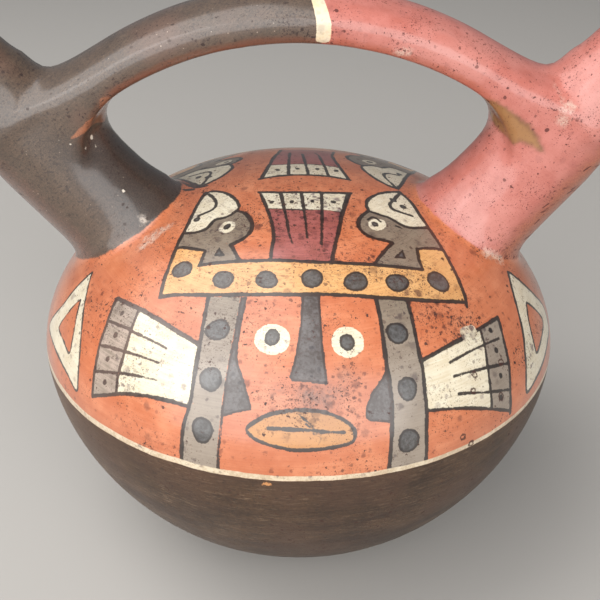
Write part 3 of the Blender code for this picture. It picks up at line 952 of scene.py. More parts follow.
vessel = mesh_object("vessel", points, triangles)
cutters = [lathe("hollow", hollow_outline(), (0, 0, 0), (0, 0, 1), 72)]
for side, spout in SPOUTS.items():
    foot, axis = spout_frame(spout)
    cutters.append(lathe(side + "_bore", bore_outline(spout), foot, axis, 48))
for cutter in cutters:
    cut = vessel.modifiers.new("cut", "BOOLEAN")
    cut.operation = "DIFFERENCE"
    cut.solver = "MANIFOLD"
    cut.object = cutter
    bpy.context.view_layer.update()
    evaluated = bpy.data.meshes.new_from_object(vessel.evaluated_get(bpy.context.evaluated_depsgraph_get()))
    vessel.modifiers.clear()
    vessel.data = evaluated
for cutter in cutters:
    bpy.data.objects.remove(cutter, do_unlink=True)
mesh = vessel.data
mesh.name = "vessel"
bm = bmesh.new()
bm.from_mesh(mesh)
bmesh.ops.triangulate(bm, faces=[f for f in bm.faces if len(f.verts) > 3])
bm.to_mesh(mesh)
open_edges = sum(1 for e in bm.edges if len(e.link_faces) != 2)
bm.free()
print("vessel mesh", len(mesh.vertices), len(mesh.polygons), "open edges", open_edges)

count = len(mesh.vertices)
co = np.empty(count * 3, np.float32)
mesh.vertices.foreach_get("co", co)
co = co.reshape(-1, 3).astype(float) * 1000.0


def attribute(name, values):
    layer = mesh.attributes.new(name, "FLOAT", "POINT")
    layer.data.foreach_set("value", np.asarray(values, np.float32))


chart_points = to_chart(co)
painted = paint.distances(co, chart_points, LAYERS + ["bare"])
painted["white"] = np.maximum(painted["white"], -painted["bare"])
for name in LAYERS:
    attribute(name, painted[name])
foot_line = body_distance(co) - spouts_distance(co)
attribute("foot", np.clip(foot_line, -10.0, 10.0))
attribute("inner", np.clip(-vessel_distance(co) / 1.5, 0.0, 1.0))
for name in MARKS:
    attribute(name, mark_distance(co, name))
attribute("stripe", np.where(co[:, 2] > 150.0, stripe_distance(co), REACH))


def soft_spots(*spots):
    """A sum of soft round patches on the dome's chart: th, s, radius, strength."""
    total = np.zeros(len(co))
    for th, s, radius, strength in spots:
        gap = np.hypot(*(chart_points - polar((th, s))[0]).T)
        total += strength * np.exp(-((gap / radius) ** 2))
    return np.clip(total, 0.0, 1.0)


attribute("smudge", soft_spots(
    (-20, 30, 8, 0.5), (15, 38, 6, 0.5), (0, 20, 9, 0.6), (26, 48, 6, 0.5), (-40, 36, 8, 0.4), (30, 22, 8, 0.4),
    (38, 69, 9, 0.9), (32, 62, 6, 0.6), (45, 77, 7, 0.7), (27, 84, 5, 0.4), (2, 87, 6, 0.8), (-8, 86, 5, 0.4), (12, 82, 6, 0.45),
    (10, 92, 7, 0.4), (-16, 55, 4, 0.3), (-36, 90, 7, 0.5), (-60, 80, 10, 0.35), (60, 95, 8, 0.4), (28, 30, 5, 0.5), (150, 60, 22, 0.5), (-130, 70, 20, 0.4), (90, 95, 12, 0.4)))
attribute("dusk", soft_spots((2.5, 85.5, 4.2, 0.9), (-4, 84.5, 2.6, 0.45), (8, 85.0, 3.2, 0.6), (11, 80, 3, 0.4), (6, 88, 3, 0.5), (-98, 40, 6, 0.9)))
# paler paint on the left fan: faded paint and painted sheen, where the front light's reflection falls
attribute("faded_paint_and_sheen", soft_spots((-44, 84, 17, 1.0), (-30, 76, 8, 0.5), (-58, 92, 10, 0.6)))
mesh.shade_smooth()
mesh.set_sharp_from_angle(angle=math.radians(50))


# ---------------------------------------------------------------------------------------------
# A flat map of the surface for baking: the dome and the bowl as discs, the spouts, the strap and the
# hollow as strips. The dome has the largest share.
# ---------------------------------------------------------------------------------------------
def wrapped(angle):
    """A triangle across the back seam keeps its corners together."""
    angle = angle.copy()
    low = (angle.max(1) - angle.min(1) > math.pi)[:, None] & (angle < 0)
    angle[low] += 2 * math.pi
    return angle


def strip(angle, along, span, box):
    """Angles go across and the distance along goes up a box (left, low, width, height) of the map."""
    left, low, width, height = box
    u = left + width * (0.02 + 0.94 * (wrapped(angle) + math.pi) / (2 * math.pi))
    v = low + height * (0.02 + 0.96 * np.clip((along - span[0]) / (span[1] - span[0]), 0.0, 1.0))
    return np.stack([u, v], 2)


def flat_map():
    corners = np.empty(len(mesh.polygons) * 3, np.int32)
    mesh.loops.foreach_get("vertex_index", corners)
    corners = corners.reshape(-1, 3)
    p = co[corners]
    middle = p.mean(1)
    deep = -vessel_distance(middle) > 0.9
    tubes = {side: spout_distance(middle, spout) for side, spout in SPOUTS.items()}
    on_spouts = body_distance(middle) - spouts_distance(middle) > 0.0
    near_tube = np.minimum(tubes["left"], tubes["right"]) < bridge_distance(middle)
    uv = np.zeros((len(p), 3, 2))

    def disc(rows, arc, centre, radius, reach):
        x, y = p[rows][:, :, 0], p[rows][:, :, 1]
        r = np.maximum(np.hypot(x, y), 1e-6)
        uv[rows] = np.stack([centre[0] + radius / reach * arc * x / r, centre[1] + radius / reach * arc * y / r], 2)

    rows = ~deep & ~on_spouts & (middle[:, 2] >= WIDEST_Z - 0.8)
    disc(rows, np.hypot(*np.moveaxis(to_chart(p[rows].reshape(-1, 3)).reshape(-1, 3, 2), 2, 0)), (0.302, 0.302), 0.298, 108.0)
    rows = ~deep & ~on_spouts & (middle[:, 2] < WIDEST_Z - 0.8)
    low = p[rows]
    disc(rows, np.hypot(low[:, :, 0], low[:, :, 1]) + 0.62 * low[:, :, 2], (0.802, 0.192), 0.190, 134.0)
    for side, box in (("left", (0.625, 0.400, 0.365, 0.285)), ("right", (0.625, 0.695, 0.365, 0.285))):
        foot, axis = spout_frame(SPOUTS[side])
        across = np.cross(axis, (0.0, 1.0, 0.0))
        rows = ~deep & on_spouts & near_tube & (tubes[side] <= tubes["right" if side == "left" else "left"])
        rel = p[rows] - foot
        t, u, v = rel @ axis, rel @ across, rel[:, :, 1]
        lip = np.where(t > SPOUT_LENGTH - 2.5, np.clip(SPOUTS[side]["radius"] - np.hypot(u, v), 0.0, 12.0), 0.0)
        uv[rows] = strip(np.arctan2(v, u), t + lip, (-16.0, SPOUT_LENGTH + 12.0), box)
    rows = ~deep & on_spouts & ~near_tube
    x, y, z = p[rows][:, :, 0], p[rows][:, :, 1], p[rows][:, :, 2] - WIDEST_Z
    out = np.hypot(x, z) - 0.5 * (BRIDGE_IN + BRIDGE_OUT)
    turn = strip(np.arctan2(y / 15.0, out / 7.0), np.degrees(np.arctan2(x, z)), (-58.0, 58.0), (0.0, 0.0, 0.165, 0.600))
    uv[rows] = np.stack([0.008 + turn[:, :, 1], 0.625 + turn[:, :, 0]], 2)
    rows = deep
    inside = strip(np.arctan2(p[rows][:, :, 1], p[rows][:, :, 0]), p[rows][:, :, 2], (0.0, 200.0), (0.008, 0.800, 0.600, 0.190))
    uv[rows] = inside
    layer = mesh.uv_layers.new(name="OFBake")
    layer.data.foreach_set("uv", np.clip(uv, 0.001, 0.999).astype(np.float32).ravel())
    print("flat map", {"deep": int(deep.sum()), "all": len(p)})


flat_map()


# ---------------------------------------------------------------------------------------------
# Material
# ---------------------------------------------------------------------------------------------
class Graph:
    """Short names for the shader nodes."""

    def __init__(self, tree):
        self.tree = tree

    def node(self, kind, **settings):
        made = self.tree.nodes.new(kind)
        for key, value in settings.items():
            setattr(made, key, value)
        return made

    def put(self, socket, value):
        if isinstance(value, bpy.types.NodeSocket):
            self.tree.links.new(value, socket)
        elif isinstance(value, (tuple, list)) and len(value) == 3 and socket.type == "RGBA":
            socket.default_value = (*value, 1.0)
        else:
            socket.default_value = value

    def math(self, operation, a, b=None, c=None, clamp=False):
        n = self.node("ShaderNodeMath", operation=operation, use_clamp=clamp)
        for i, value in enumerate((a, b, c)):
            if value is not None:
                self.put(n.inputs[i], value)
        return n.outputs[0]

    def add(self, *values):
        total = values[0]
        for value in values[1:]:
            total = self.math("ADD", total, value)
        return total

    def mul(self, *values):
        total = values[0]
        for value in values[1:]:
            total = self.math("MULTIPLY", total, value)
        return total

    def sub(self, a, b):
        return self.math("SUBTRACT", a, b)

    def least(self, a, b):
        return self.math("MINIMUM", a, b)

    def most(self, a, b):
        return self.math("MAXIMUM", a, b)

    def invert(self, a):
        return self.math("SUBTRACT", 1.0, a, clamp=True)

    def step(self, value, low, high, to_low=0.0, to_high=1.0):
        n = self.node("ShaderNodeMapRange", interpolation_type="SMOOTHSTEP")
        for i, v in enumerate((value, low, high, to_low, to_high)):
            self.put(n.inputs[i], v)
        return n.outputs[0]

    def linear(self, value, low, high, to_low=0.0, to_high=1.0):
        n = self.node("ShaderNodeMapRange", interpolation_type="LINEAR")
        for i, v in enumerate((value, low, high, to_low, to_high)):
            self.put(n.inputs[i], v)
        return n.outputs[0]

    def mix(self, factor, a, b, blend="MIX"):
        n = self.node("ShaderNodeMix", data_type="RGBA", blend_type=blend)
        self.put(n.inputs[0], factor)
        self.put(n.inputs[6], a)
        self.put(n.inputs[7], b)
        return n.outputs[2]

    def attribute(self, name):
        return self.node("ShaderNodeAttribute", attribute_name=name).outputs["Fac"]

    def vector(self, operation, a, b=None, scale=None):
        n = self.node("ShaderNodeVectorMath", operation=operation)
        self.put(n.inputs[0], a)
        if b is not None:
            self.put(n.inputs[1], b)
        if scale is not None:
            self.put(n.inputs["Scale"], scale)
        return n.outputs["Value"] if operation in ("DOT_PRODUCT", "LENGTH") else n.outputs["Vector"]

    def combine(self, x, y, z):
        n = self.node("ShaderNodeCombineXYZ")
        for i, v in enumerate((x, y, z)):
            self.put(n.inputs[i], v)
        return n.outputs[0]

    def noise(self, vector, scale, detail=2.0, rough=0.5, warp=0.0):
        n = self.node("ShaderNodeTexNoise")
        self.put(n.inputs["Vector"], vector)
        n.inputs["Scale"].default_value = scale
        n.inputs["Detail"].default_value = detail
        n.inputs["Roughness"].default_value = rough
        n.inputs["Distortion"].default_value = warp
        return n.outputs["Fac"]

    def jitter(self, vector, scale, amount):
        """Adds a noise vector of that strength, so that round things drawn there come out uneven."""
        n = self.node("ShaderNodeTexNoise")
        self.put(n.inputs["Vector"], vector)
        n.inputs["Scale"].default_value = scale
        n.inputs["Detail"].default_value = 2.0
        shift = self.vector("SCALE", self.vector("SUBTRACT", n.outputs["Color"], (0.5, 0.5, 0.5)), scale=amount)
        return self.vector("ADD", vector, shift)

    def specks(self, vector, scale, density, size_low, size_high, soft=0.25):
        """Scattered round specks: each cell of a Voronoi pattern holds one or none."""
        n = self.node("ShaderNodeTexVoronoi", feature="F1")
        self.put(n.inputs["Vector"], vector)
        n.inputs["Scale"].default_value = scale
        n.inputs["Randomness"].default_value = 1.0
        parts = self.node("ShaderNodeSeparateColor")
        self.tree.links.new(n.outputs["Color"], parts.inputs[0])
        here = self.math("LESS_THAN", parts.outputs[0], density)
        size = self.linear(parts.outputs[1], 0.0, 1.0, size_low, size_high)
        inner = self.mul(size, 1.0 - soft)
        n2 = self.node("ShaderNodeMapRange", interpolation_type="SMOOTHSTEP")
        for i, v in enumerate((n.outputs["Distance"], inner, size, 1.0, 0.0)):
            self.put(n2.inputs[i], v)
        return self.mul(n2.outputs[0], here, self.linear(parts.outputs[2], 0.0, 1.0, 0.35, 1.0))


COLOURS = {
    "orange": (0.44, 0.142, 0.062),
    "orange_light": (0.50, 0.190, 0.092),
    "orange_dark": (0.36, 0.098, 0.037),
    "ink": (0.026, 0.023, 0.021),
    "ink_edge": (0.014, 0.009, 0.007),
    "white": (0.60, 0.545, 0.42),
    "grey": (0.185, 0.146, 0.106),
    "ochre": (0.54, 0.300, 0.118),
    "ochre_low": (0.40, 0.180, 0.050),
    "maroon": (0.285, 0.085, 0.074),
    "bowl": (0.020, 0.009, 0.004),
    "bowl_light": (0.064, 0.033, 0.015),
    "black": (0.067, 0.040, 0.024),
    "black_red": (0.095, 0.045, 0.028),
    "rose": (0.39, 0.126, 0.100),
    "rose_light": (0.45, 0.185, 0.152),
    "cream": (0.60, 0.51, 0.37),
    "clay": (0.27, 0.14, 0.08),
}


def vessel_material():
    material = bpy.data.materials.new("painted_slips")
    material.use_nodes = True
    tree = material.node_tree
    tree.nodes.clear()
    g = Graph(tree)
    output = g.node("ShaderNodeOutputMaterial")
    shader = g.node("ShaderNodeBsdfPrincipled")
    tree.links.new(shader.outputs[0], output.inputs["Surface"])
    C = COLOURS

    place = g.vector("SCALE", g.node("ShaderNodeTexCoord").outputs["Object"], scale=1000.0)
    xyz = g.node("ShaderNodeSeparateXYZ")
    tree.links.new(place, xyz.inputs[0])
    x, y, z = xyz.outputs
    r = g.math("SQRT", g.add(g.mul(x, x), g.mul(y, y)))
    up = g.sub(z, WIDEST_Z)
    arc = g.mul(g.math("ARCTAN2", up, r), 85.0)  # roughly the distance up the body, in mm
    ux, uy = g.math("DIVIDE", x, g.most(r, 0.5)), g.math("DIVIDE", y, g.most(r, 0.5))

    def round_the_body(length, height):
        """A vector whose noise runs round the body in streaks that long and that high, in mm."""
        a = 85.0 / length
        return g.combine(g.mul(ux, a), g.mul(uy, a), g.mul(arc, 1.0 / height))

    # edges of the paint, a little unsteady
    wobble = g.add(g.mul(g.sub(g.noise(place, 0.30, 2.0), 0.5), 0.70), g.mul(g.sub(g.noise(place, 1.3, 3.0, 0.65), 0.5), 0.55))

    def layer(name, shift=0.0, soft=0.12):
        value = g.add(g.attribute(name), wobble, shift)
        return g.step(value, -soft, soft, 1.0, 0.0)

    # burnished ground
    streaks = g.noise(round_the_body(16.0, 0.55), 1.0, 3.0, 0.6)
    broad = g.noise(round_the_body(30.0, 5.0), 1.0, 3.0, 0.55)
    # paler ink and grey on the left fan: faded paint and painted sheen
    faded_paint_and_sheen = g.mul(g.attribute("faded_paint_and_sheen"), g.linear(streaks, 0.3, 0.7, 0.65, 1.0))
    cloud = g.noise(place, 0.035, 3.0, 0.55)
    mottle = g.noise(place, 0.22, 4.0, 0.6)
    tone = g.add(g.mul(streaks, 0.22), g.mul(broad, 0.24), g.mul(mottle, 0.30), g.mul(g.noise(place, 0.09, 3.0), 0.24))
    orange = g.mix(g.step(tone, 0.38, 0.60), C["orange_dark"], C["orange"])
    orange = g.mix(g.mul(g.step(tone, 0.50, 0.68), 0.75), orange, C["orange_light"])
    colour = orange

    worn = g.step(g.noise(place, 0.9, 4.0, 0.7), 0.66, 0.74)  # where thin paint has rubbed off
    thin = g.add(g.mul(g.sub(mottle, 0.5), 0.5), 1.0)

    def painted_over(below, name, paint_colour, shade, coverage=1.0):
        tinted = g.mix(g.step(g.add(g.mul(streaks, 0.5), g.mul(mottle, 0.5)), 0.35, 0.65), shade, paint_colour)
        amount = g.mul(layer(name), g.sub(coverage, g.mul(worn, 0.55)))
        return g.mix(amount, below, tinted)

    high = g.step(up, 24.0, 38.0)
    colour = painted_over(colour, "ochre", g.mix(high, C["ochre_low"], C["ochre"]), g.mix(high, (0.36, 0.155, 0.045), (0.44, 0.215, 0.075)))
    # the grey is paler low on the dome and darker high up: painted sheen, where the front light's reflection falls
    colour = painted_over(colour, "grey", g.mix(g.mul(faded_paint_and_sheen, 0.95), g.mix(high, (0.235, 0.192, 0.150), C["grey"]), (0.37, 0.285, 0.235)), g.mix(high, (0.190, 0.152, 0.117), (0.135, 0.100, 0.072)))
    colour = painted_over(colour, "maroon", C["maroon"], (0.200, 0.054, 0.043))
    colour = painted_over(colour, "white", C["white"], (0.50, 0.425, 0.30))
    grit = g.noise(place, 1.1, 3.0, 0.6)
    ink_tone = g.mix(g.step(g.add(g.mul(mottle, 0.5), g.mul(grit, 0.5)), 0.38, 0.62), C["ink"], (0.070, 0.069, 0.069))
    ink_tone = g.mix(g.step(g.add(g.attribute("ink"), g.mul(g.sub(grit, 0.5), 0.5)), -0.95, -0.45), ink_tone, C["ink_edge"])
    ink_amount = g.mul(layer("ink"), g.sub(0.97, g.mul(worn, 0.45)))
    # the ink is paler on the left fan: faded ink and painted sheen
    ink_tone = g.mix(g.mul(faded_paint_and_sheen, 0.75), ink_tone, (0.125, 0.080, 0.062))
    colour = g.mix(ink_amount, colour, ink_tone)
    colour = g.mix(g.mul(layer("worn"), 0.9), colour, g.mix(g.step(mottle, 0.35, 0.65), (0.36, 0.29, 0.19), (0.60, 0.53, 0.40)))

    # the cream line and the bowl below it
    line_wobble = g.mul(g.sub(g.noise(round_the_body(12.0, 30.0), 1.0, 3.0, 0.6), 0.5), 1.1)
    height = g.add(up, line_wobble)
    line_top = g.linear(ux, -0.9, 0.5, 1.75, 1.05)
    in_line = g.mul(g.step(height, -0.50, -0.25), g.step(g.sub(height, line_top), -0.15, 0.15, 1.0, 0.0))
    cream = g.mix(g.step(g.add(g.mul(mottle, 0.5), g.mul(grit, 0.5)), 0.40, 0.60), (0.42, 0.33, 0.22), (0.56, 0.47, 0.34))
    below_line = g.step(height, -0.45, -0.25, 1.0, 0.0)
    bowl_streaks = g.noise(round_the_body(16.0, 0.42), 1.0, 4.0, 0.7)
    bowl_tone = g.add(g.mul(bowl_streaks, 0.26), g.mul(broad, 0.24), g.mul(g.noise(place, 0.07, 4.0, 0.6), 0.26), g.mul(grit, 0.24))
    bowl = g.mix(g.step(bowl_tone, 0.38, 0.62), C["bowl"], C["bowl_light"])
    bowl = g.mix(g.mul(g.step(ux, -0.45, -0.95), 0.5), bowl, (0.125, 0.070, 0.043))  # painted light: the bowl is lighter on the left, where the key light falls
    scratch = g.step(g.noise(round_the_body(4.2, 0.27), 1.0, 3.0, 0.6), 0.575, 0.645)
    scratch = g.mul(scratch, g.step(g.add(g.mul(broad, 0.5), g.mul(cloud, 0.5)), 0.38, 0.60, 0.18, 1.0), g.linear(ux, -0.8, 0.9, 1.0, 0.35))
    bowl = g.mix(g.mul(scratch, 0.65), bowl, (0.27, 0.185, 0.120))
    pocks = g.step(g.noise(g.combine(g.mul(ux, 50.0), g.mul(uy, 50.0), g.mul(arc, 1.3)), 1.0, 3.0, 0.6), 0.40, 0.32)
    bowl = g.mix(g.mul(g.step(g.noise(place, 0.045, 3.0), 0.46, 0.60), 0.5), bowl, (0.052, 0.025, 0.014))
    bowl = g.mix(g.mul(pocks, 0.65), bowl, (0.014, 0.008, 0.005))
    chip = g.vector("LENGTH", g.vector("MULTIPLY", g.vector("SUBTRACT", place, (-8.4, -84.5, 73.1)), (0.85, 1.0, 1.5)))
    chip = g.step(g.add(chip, g.mul(g.sub(grit, 0.5), 3.0)), 0.8, 1.3, 0.95, 0.0)
    bowl = g.mix(chip, bowl, (0.42, 0.19, 0.07))
    colour = g.mix(below_line, colour, bowl)
    colour = g.mix(g.mul(in_line, 0.95), colour, cream)

    # spouts and bridge
    def along(side):
        spout = SPOUTS[side]
        foot, axis = spout_frame(spout)
        t = g.vector("DOT_PRODUCT", g.vector("SUBTRACT", place, tuple(foot)), tuple(axis))
        return t, axis

    def round_the_spout(side, length, height):
        t, axis = along(side)
        base = g.vector("SCALE", place, scale=1.0 / length)
        push = g.node("ShaderNodeVectorMath", operation="SCALE")
        push.inputs[0].default_value = tuple(axis)
        g.put(push.inputs["Scale"], g.mul(t, 1.0 / height - 1.0 / length))
        return g.vector("ADD", base, push.outputs["Vector"])

    on_left = g.step(g.sub(x, g.add(3.6, g.mul(y, y, 0.012))), -0.3, 0.3, 1.0, 0.0)
    left_streaks = g.noise(round_the_spout("left", 14.0, 0.5), 1.0, 3.0, 0.6)
    right_streaks = g.noise(round_the_spout("right", 14.0, 0.6), 1.0, 3.0, 0.6)
    pitting = g.noise(place, 2.1, 3.0, 0.75)
    black_tone = g.add(g.mul(left_streaks, 0.22), g.mul(mottle, 0.20), g.mul(pitting, 0.58))
    black = g.mix(g.step(black_tone, 0.43, 0.56), (0.043, 0.027, 0.017), C["black"])
    black = g.mix(g.mul(g.step(black_tone, 0.50, 0.66), 0.40), black, (0.115, 0.080, 0.053))
    pitted = g.add(g.noise(place, 1.15, 3.0, 0.62), g.mul(g.step(g.noise(place, 0.05, 2.0), 0.40, 0.62), 0.045))
    black = g.mix(g.mul(g.step(pitted, 0.585, 0.640), 0.75), black, (0.022, 0.012, 0.008))
    black = g.mix(g.mul(g.step(cloud, 0.5, 0.68), 0.5), black, C["black_red"])
    rose_tone = g.add(g.mul(right_streaks, 0.16), g.mul(mottle, 0.50), g.mul(pitting, 0.34))
    rose = g.mix(g.step(rose_tone, 0.38, 0.62), (0.33, 0.092, 0.068), C["rose"])
    rose = g.mix(g.mul(g.step(cloud, 0.45, 0.66), 0.55), rose, C["rose_light"])
    # the lower edge of each spout is browner, and so is the edge of the strap beside its underside
    def edge_of(side, sign, low, high):
        foot, _ = spout_frame(SPOUTS[side])
        lean = math.radians(SPOUTS[side]["lean"])
        down = (sign * math.cos(lean), 0.0, -sign * math.sin(lean))
        return g.step(g.add(g.vector("DOT_PRODUCT", g.vector("SUBTRACT", place, tuple(foot)), down), g.mul(g.sub(mottle, 0.5), 9.0)), low, high)

    left_edge, right_edge = edge_of("left", -1.0, 4.0, 15.0), edge_of("right", 1.0, 3.0, 12.0)
    black = g.mix(g.mul(left_edge, 0.7), black, g.mix(g.step(pitting, 0.4, 0.6), (0.060, 0.020, 0.011), (0.170, 0.062, 0.034)))
    # painted shade: the left spout's side towards the dome, below the strap, is darkened almost to black
    black = g.mix(g.mul(edge_of("left", 1.0, 2.0, 12.0), g.linear(z, 140.0, 152.0, 1.0, 0.0), 0.9), black, g.mix(g.step(pitting, 0.4, 0.6), (0.016, 0.010, 0.007), (0.038, 0.024, 0.017)))
    rose = g.mix(g.mul(right_edge, 0.9), rose, g.mix(g.step(pitting, 0.38, 0.6), (0.20, 0.046, 0.018), (0.32, 0.095, 0.036)))
    out_of_arch = g.math("SQRT", g.add(g.mul(x, x), g.mul(up, up)))
    under = g.step(g.add(out_of_arch, g.mul(g.sub(mottle, 0.5), 3.0)), 102.2, 104.8, 1.0, 0.0)
    on_strap = g.mul(g.step(g.math("ABSOLUTE", x), 54.0, 62.0, 1.0, 0.0), g.step(out_of_arch, 94.0, 97.0))
    black = g.mix(g.mul(under, on_strap, 0.8), black, (0.125, 0.040, 0.020))
    rose = g.mix(g.mul(under, on_strap, 0.6), rose, (0.36, 0.085, 0.045))
    slip = g.mix(on_left, rose, black)
    foot_edge = g.step(g.add(g.attribute("foot"), g.mul(wobble, 2.0)), -0.4, 0.4)
    colour = g.mix(foot_edge, colour, slip)

    # patches of bare clay, ochre stain, cream stripe and pale scuffs
    ragged = g.mul(g.sub(g.noise(place, 0.7, 4.0, 0.65), 0.5), 3.0)

    def mark(name, amount, rough=1.0, soft=0.25, shift=0.0):
        value = g.add(g.attribute(name), g.mul(ragged, rough), shift)
        return g.mul(g.step(value, -soft, soft, 1.0, 0.0), amount)

    colour = g.mix(mark("clay", 0.92, 0.4), colour, g.mix(g.step(mottle, 0.35, 0.65), (0.150, 0.055, 0.025), (0.29, 0.108, 0.050)))
    olive = g.mix(g.step(g.add(g.mul(mottle, 0.6), g.mul(g.linear(g.attribute("mustard"), -2.8, 0.0, 0.4, 0.0), 1.0)), 0.25, 0.60), (0.115, 0.047, 0.014), (0.225, 0.108, 0.030))
    colour = g.mix(mark("mustard", 0.92, 0.8, 1.1, 0.1), colour, olive)
    colour = g.mix(mark("stripe", 0.96, 0.18, 0.12), colour, g.mix(g.step(mottle, 0.3, 0.6), (0.66, 0.50, 0.30), C["cream"]))
    streaky = g.step(g.noise(place, 0.8, 4.0, 0.75), 0.40, 0.56)
    colour = g.mix(g.mul(mark("pale", 0.62, 1.4, 1.2, -0.2), g.add(0.25, g.mul(streaky, 0.75))), colour, (0.52, 0.44, 0.36))
    colour = g.mix(mark("chips", 0.9, 0.35, 0.15, 0.15), colour, (0.60, 0.54, 0.45))
    pores = g.specks(place, 0.62, 0.22, 0.07, 0.16)  # small pale grit in the dark slip
    colour = g.mix(g.mul(pores, foot_edge, on_left, 0.75), colour, (0.34, 0.26, 0.20))

    # dark specks and pits, denser in some areas
    smudge = g.attribute("smudge")
    on_body = g.invert(foot_edge)
    cluster = g.add(g.mul(g.noise(place, 0.085, 3.0, 0.6), 0.7), g.mul(g.noise(place, 0.035, 2.0), 0.3), g.mul(smudge, 0.19))
    cluster = g.sub(cluster, g.add(g.mul(on_body, g.step(up, 40.0, 22.0), 0.02), g.mul(foot_edge, 0.006)))
    limit = g.linear(cluster, 0.36, 0.66, 0.715, 0.585)
    grain = g.step(g.sub(g.noise(place, 1.05, 3.0, 0.60), limit), 0.0, 0.025)
    fine_grain = g.step(g.sub(g.noise(place, 2.3, 2.0, 0.55), limit), -0.015, 0.015)
    large = g.specks(g.jitter(place, 1.3, 0.9), 0.42, g.step(cluster, 0.40, 0.62, 0.10, 0.55), 0.10, 0.30, 0.3)
    scuffs = g.step(g.noise(g.combine(g.mul(x, 0.55), g.mul(y, 1.7), g.mul(z, 1.7)), 1.0, 3.0, 0.6), 0.575, 0.64)
    scuffs = g.mul(scuffs, g.step(up, 34.0, 44.0), on_body)
    dash_place = g.combine(g.mul(x, 0.36), g.mul(y, 0.8), g.mul(z, 1.5))
    dashes = g.mul(g.specks(dash_place, 0.50, 1.0, 0.16, 0.46, 0.35), right_edge, foot_edge)
    ragged_place = g.jitter(place, 0.8, 1.7)
    stain = g.specks(ragged_place, 0.28, g.add(0.14, g.mul(smudge, 0.95)), 0.28, 0.54, 0.6)
    stain2 = g.specks(ragged_place, 0.55, g.add(0.17, g.mul(smudge, 0.95)), 0.28, 0.54, 0.5)
    speck = g.most(g.most(large, g.mul(grain, 0.95)), g.most(g.mul(fine_grain, 0.65), dashes))
    blotch = g.mul(g.most(g.most(stain, stain2), g.mul(scuffs, 0.8)), g.add(0.72, g.mul(smudge, 0.75)), g.linear(foot_edge, 0.0, 1.0, 1.0, 0.3))
    for radius, a, b in STREAKS:
        a, b = np.array(a), np.array(b)
        length = float(np.linalg.norm(b - a))
        rel = g.vector("SUBTRACT", place, tuple(a))
        t = g.linear(g.vector("DOT_PRODUCT", rel, tuple((b - a) / length)), 0.0, length, 0.0, 1.0)
        step_to = g.node("ShaderNodeVectorMath", operation="SCALE")
        step_to.inputs[0].default_value = tuple(b - a)
        g.put(step_to.inputs["Scale"], t)
        gap = g.vector("LENGTH", g.vector("SUBTRACT", rel, step_to.outputs["Vector"]))
        speck = g.most(speck, g.mul(g.step(g.add(gap, g.mul(ragged, 0.12)), radius * 0.8, radius * 1.15, 1.0, 0.0), 0.92))
    dusk = g.mul(g.attribute("dusk"), g.step(g.add(g.mul(mottle, 0.5), g.mul(grit, 0.5)), 0.38, 0.62, 0.15, 0.85))
    colour = g.mix(dusk, colour, (0.10, 0.055, 0.045))
    colour = g.mix(g.mul(smudge, on_body, 0.45), colour, (0.74, 0.78, 0.80), "MULTIPLY")
    colour = g.mix(g.mul(blotch, g.invert(below_line)), colour, (0.34, 0.30, 0.36), "MULTIPLY")
    speck = g.mul(speck, g.sub(1.0, g.mul(below_line, on_body, 0.15)), g.sub(1.0, g.mul(in_line, on_body, 0.6)), g.sub(1.0, g.mul(layer("white"), g.step(up, 38.0, 42.0, 0.25, 0.0))))
    for radius, centre in RINGS:
        gap = g.add(g.vector("LENGTH", g.vector("SUBTRACT", place, centre)), g.mul(g.sub(grit, 0.5), 1.7), -radius)
        speck = g.most(speck, g.step(g.math("ABSOLUTE", gap), 0.14, 0.42, 0.9, 0.0))
    speck = g.mul(speck, g.sub(1.0, mark("stripe", 0.85, 0.18, 0.12)))
    colour = g.mix(speck, colour, g.mix(foot_edge, (0.036, 0.010, 0.006), g.mix(on_left, (0.070, 0.009, 0.006), (0.020, 0.008, 0.005))))

    inner = g.attribute("inner")
    clay = g.mix(g.step(mottle, 0.3, 0.7), (0.20, 0.10, 0.055), C["clay"])
    colour = g.mix(g.step(inner, 0.25, 0.75), colour, clay)

    tree.links.new(colour, shader.inputs["Base Color"])
    rough = g.add(0.38, g.mul(g.sub(streaks, 0.5), 0.14), g.mul(g.sub(mottle, 0.5), 0.16), g.mul(speck, 0.2), g.mul(inner, 0.35), g.mul(below_line, on_body, 0.10), g.mul(foot_edge, 0.14))
    tree.links.new(rough, shader.inputs["Roughness"])
    shader.inputs["Specular IOR Level"].default_value = 0.5
    gloss = g.sub(1.0, g.add(g.mul(below_line, on_body, 0.93), g.mul(foot_edge, g.linear(on_left, 0.0, 1.0, 0.22, 0.0)), g.mul(in_line, on_body, 0.4)))
    gloss = g.mul(gloss, g.sub(1.0, g.mul(speck, 0.85)), g.sub(1.0, g.mul(blotch, 0.5)), g.invert(inner))
    tree.links.new(gloss, shader.inputs["Coat Weight"])
    shader.inputs["Coat Roughness"].default_value = 0.20
    shader.inputs["Coat IOR"].default_value = 1.58

    height_map = g.add(g.mul(streaks, 0.25), g.mul(g.noise(place, 0.5, 3.0), 0.5), g.mul(g.noise(place, 2.2, 2.0), 0.30), g.mul(g.step(g.attribute("ink"), -0.2, 0.2, 1.0, 0.0), 0.25), g.mul(g.step(g.attribute("white"), -0.2, 0.2, 1.0, 0.0), 0.25))
    bump = g.node("ShaderNodeBump")
    bump.inputs["Strength"].default_value = 0.35
    bump.inputs["Distance"].default_value = 0.00012
    tree.links.new(height_map, bump.inputs["Height"])
    tree.links.new(bump.outputs[0], shader.inputs["Normal"])
    return material


mesh.materials.clear()
mesh.materials.append(vessel_material())
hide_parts(*CAD_NODES)
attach(vessel, "root")


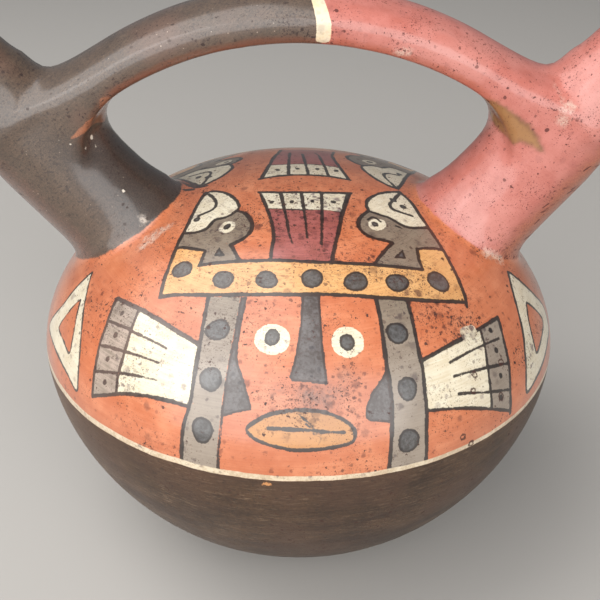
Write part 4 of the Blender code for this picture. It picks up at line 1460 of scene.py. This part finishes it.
# ---------------------------------------------------------------------------------------------
# Floor, light and camera
# ---------------------------------------------------------------------------------------------
def pale_floor():
    obj = mesh_object("floor", [(-3000, -3000, 0), (3000, -3000, 0), (3000, 3000, 0), (-3000, 3000, 0)], [(0, 1, 2, 3)])
    material = bpy.data.materials.new("floor")
    material.use_nodes = True
    shader = material.node_tree.nodes["Principled BSDF"]
    shader.inputs["Base Color"].default_value = (0.36, 0.345, 0.325, 1.0)
    shader.inputs["Roughness"].default_value = 0.9
    shader.inputs["Specular IOR Level"].default_value = 0.2
    obj.data.materials.append(material)


def area_light(name, location, target, size, energy, colour=(1.0, 1.0, 1.0)):
    data = bpy.data.lights.new(name, "AREA")
    data.shape = "RECTANGLE"
    data.size, data.size_y = size
    data.energy = energy
    data.color = colour
    obj = bpy.data.objects.new(name, data)
    obj.location = location
    obj.rotation_euler = (Vector(target) - Vector(location)).to_track_quat("-Z", "Y").to_euler()
    bpy.context.scene.collection.objects.link(obj)


pale_floor()
def soft_light(name, location, target, *steps):
    """Nested area lights, each (width, height, watts), so that the light fades out towards its edge."""
    for number, (width, height, energy) in enumerate(steps):
        area_light("%s_%d" % (name, number + 1), location, target, (width, height), energy, (1.0, 0.99, 0.98))


soft_light("key", (-0.46, -0.14, 0.98), (0.0, 0.0, 0.10), (1.10, 1.10, 7.0), (0.62, 0.62, 5.2))
soft_light("front", (-0.11, -1.10, 0.675), (0.0, 0.0, 0.11), (3.0, 1.20, 24.5), (2.0, 0.92, 12.6), (1.5, 0.62, 10.8))
world = bpy.data.worlds.new("studio")
world.use_nodes = True
world.node_tree.nodes["Background"].inputs["Color"].default_value = (0.86, 0.88, 0.92, 1.0)
world.node_tree.nodes["Background"].inputs["Strength"].default_value = 0.22
bpy.context.scene.world = world

CAMERA_ELEVATION = 30.29
CAMERA_DISTANCE = 0.3739
CAMERA_TARGET = Vector((0.0, 0.0, 0.0833))
CAMERA_ROLL = 0.61

camera_data = bpy.data.cameras.new("camera")
camera_data.lens = 65.94
camera_data.sensor_width = 36.0
camera_data.shift_x = 0.0019
camera_data.clip_start = 0.01
camera = bpy.data.objects.new("camera", camera_data)
tilt = math.radians(CAMERA_ELEVATION)
camera.location = CAMERA_TARGET + CAMERA_DISTANCE * Vector((0.0, -math.cos(tilt), math.sin(tilt)))
facing = (CAMERA_TARGET - camera.location).to_track_quat("-Z", "Y")
camera.rotation_mode = "QUATERNION"
camera.rotation_quaternion = facing @ Quaternion((0.0, 0.0, 1.0), math.radians(CAMERA_ROLL))
bpy.context.scene.collection.objects.link(camera)
bpy.context.scene.camera = camera
bpy.context.scene.view_settings.view_transform = "Standard"
bpy.context.scene.view_settings.look = "None"
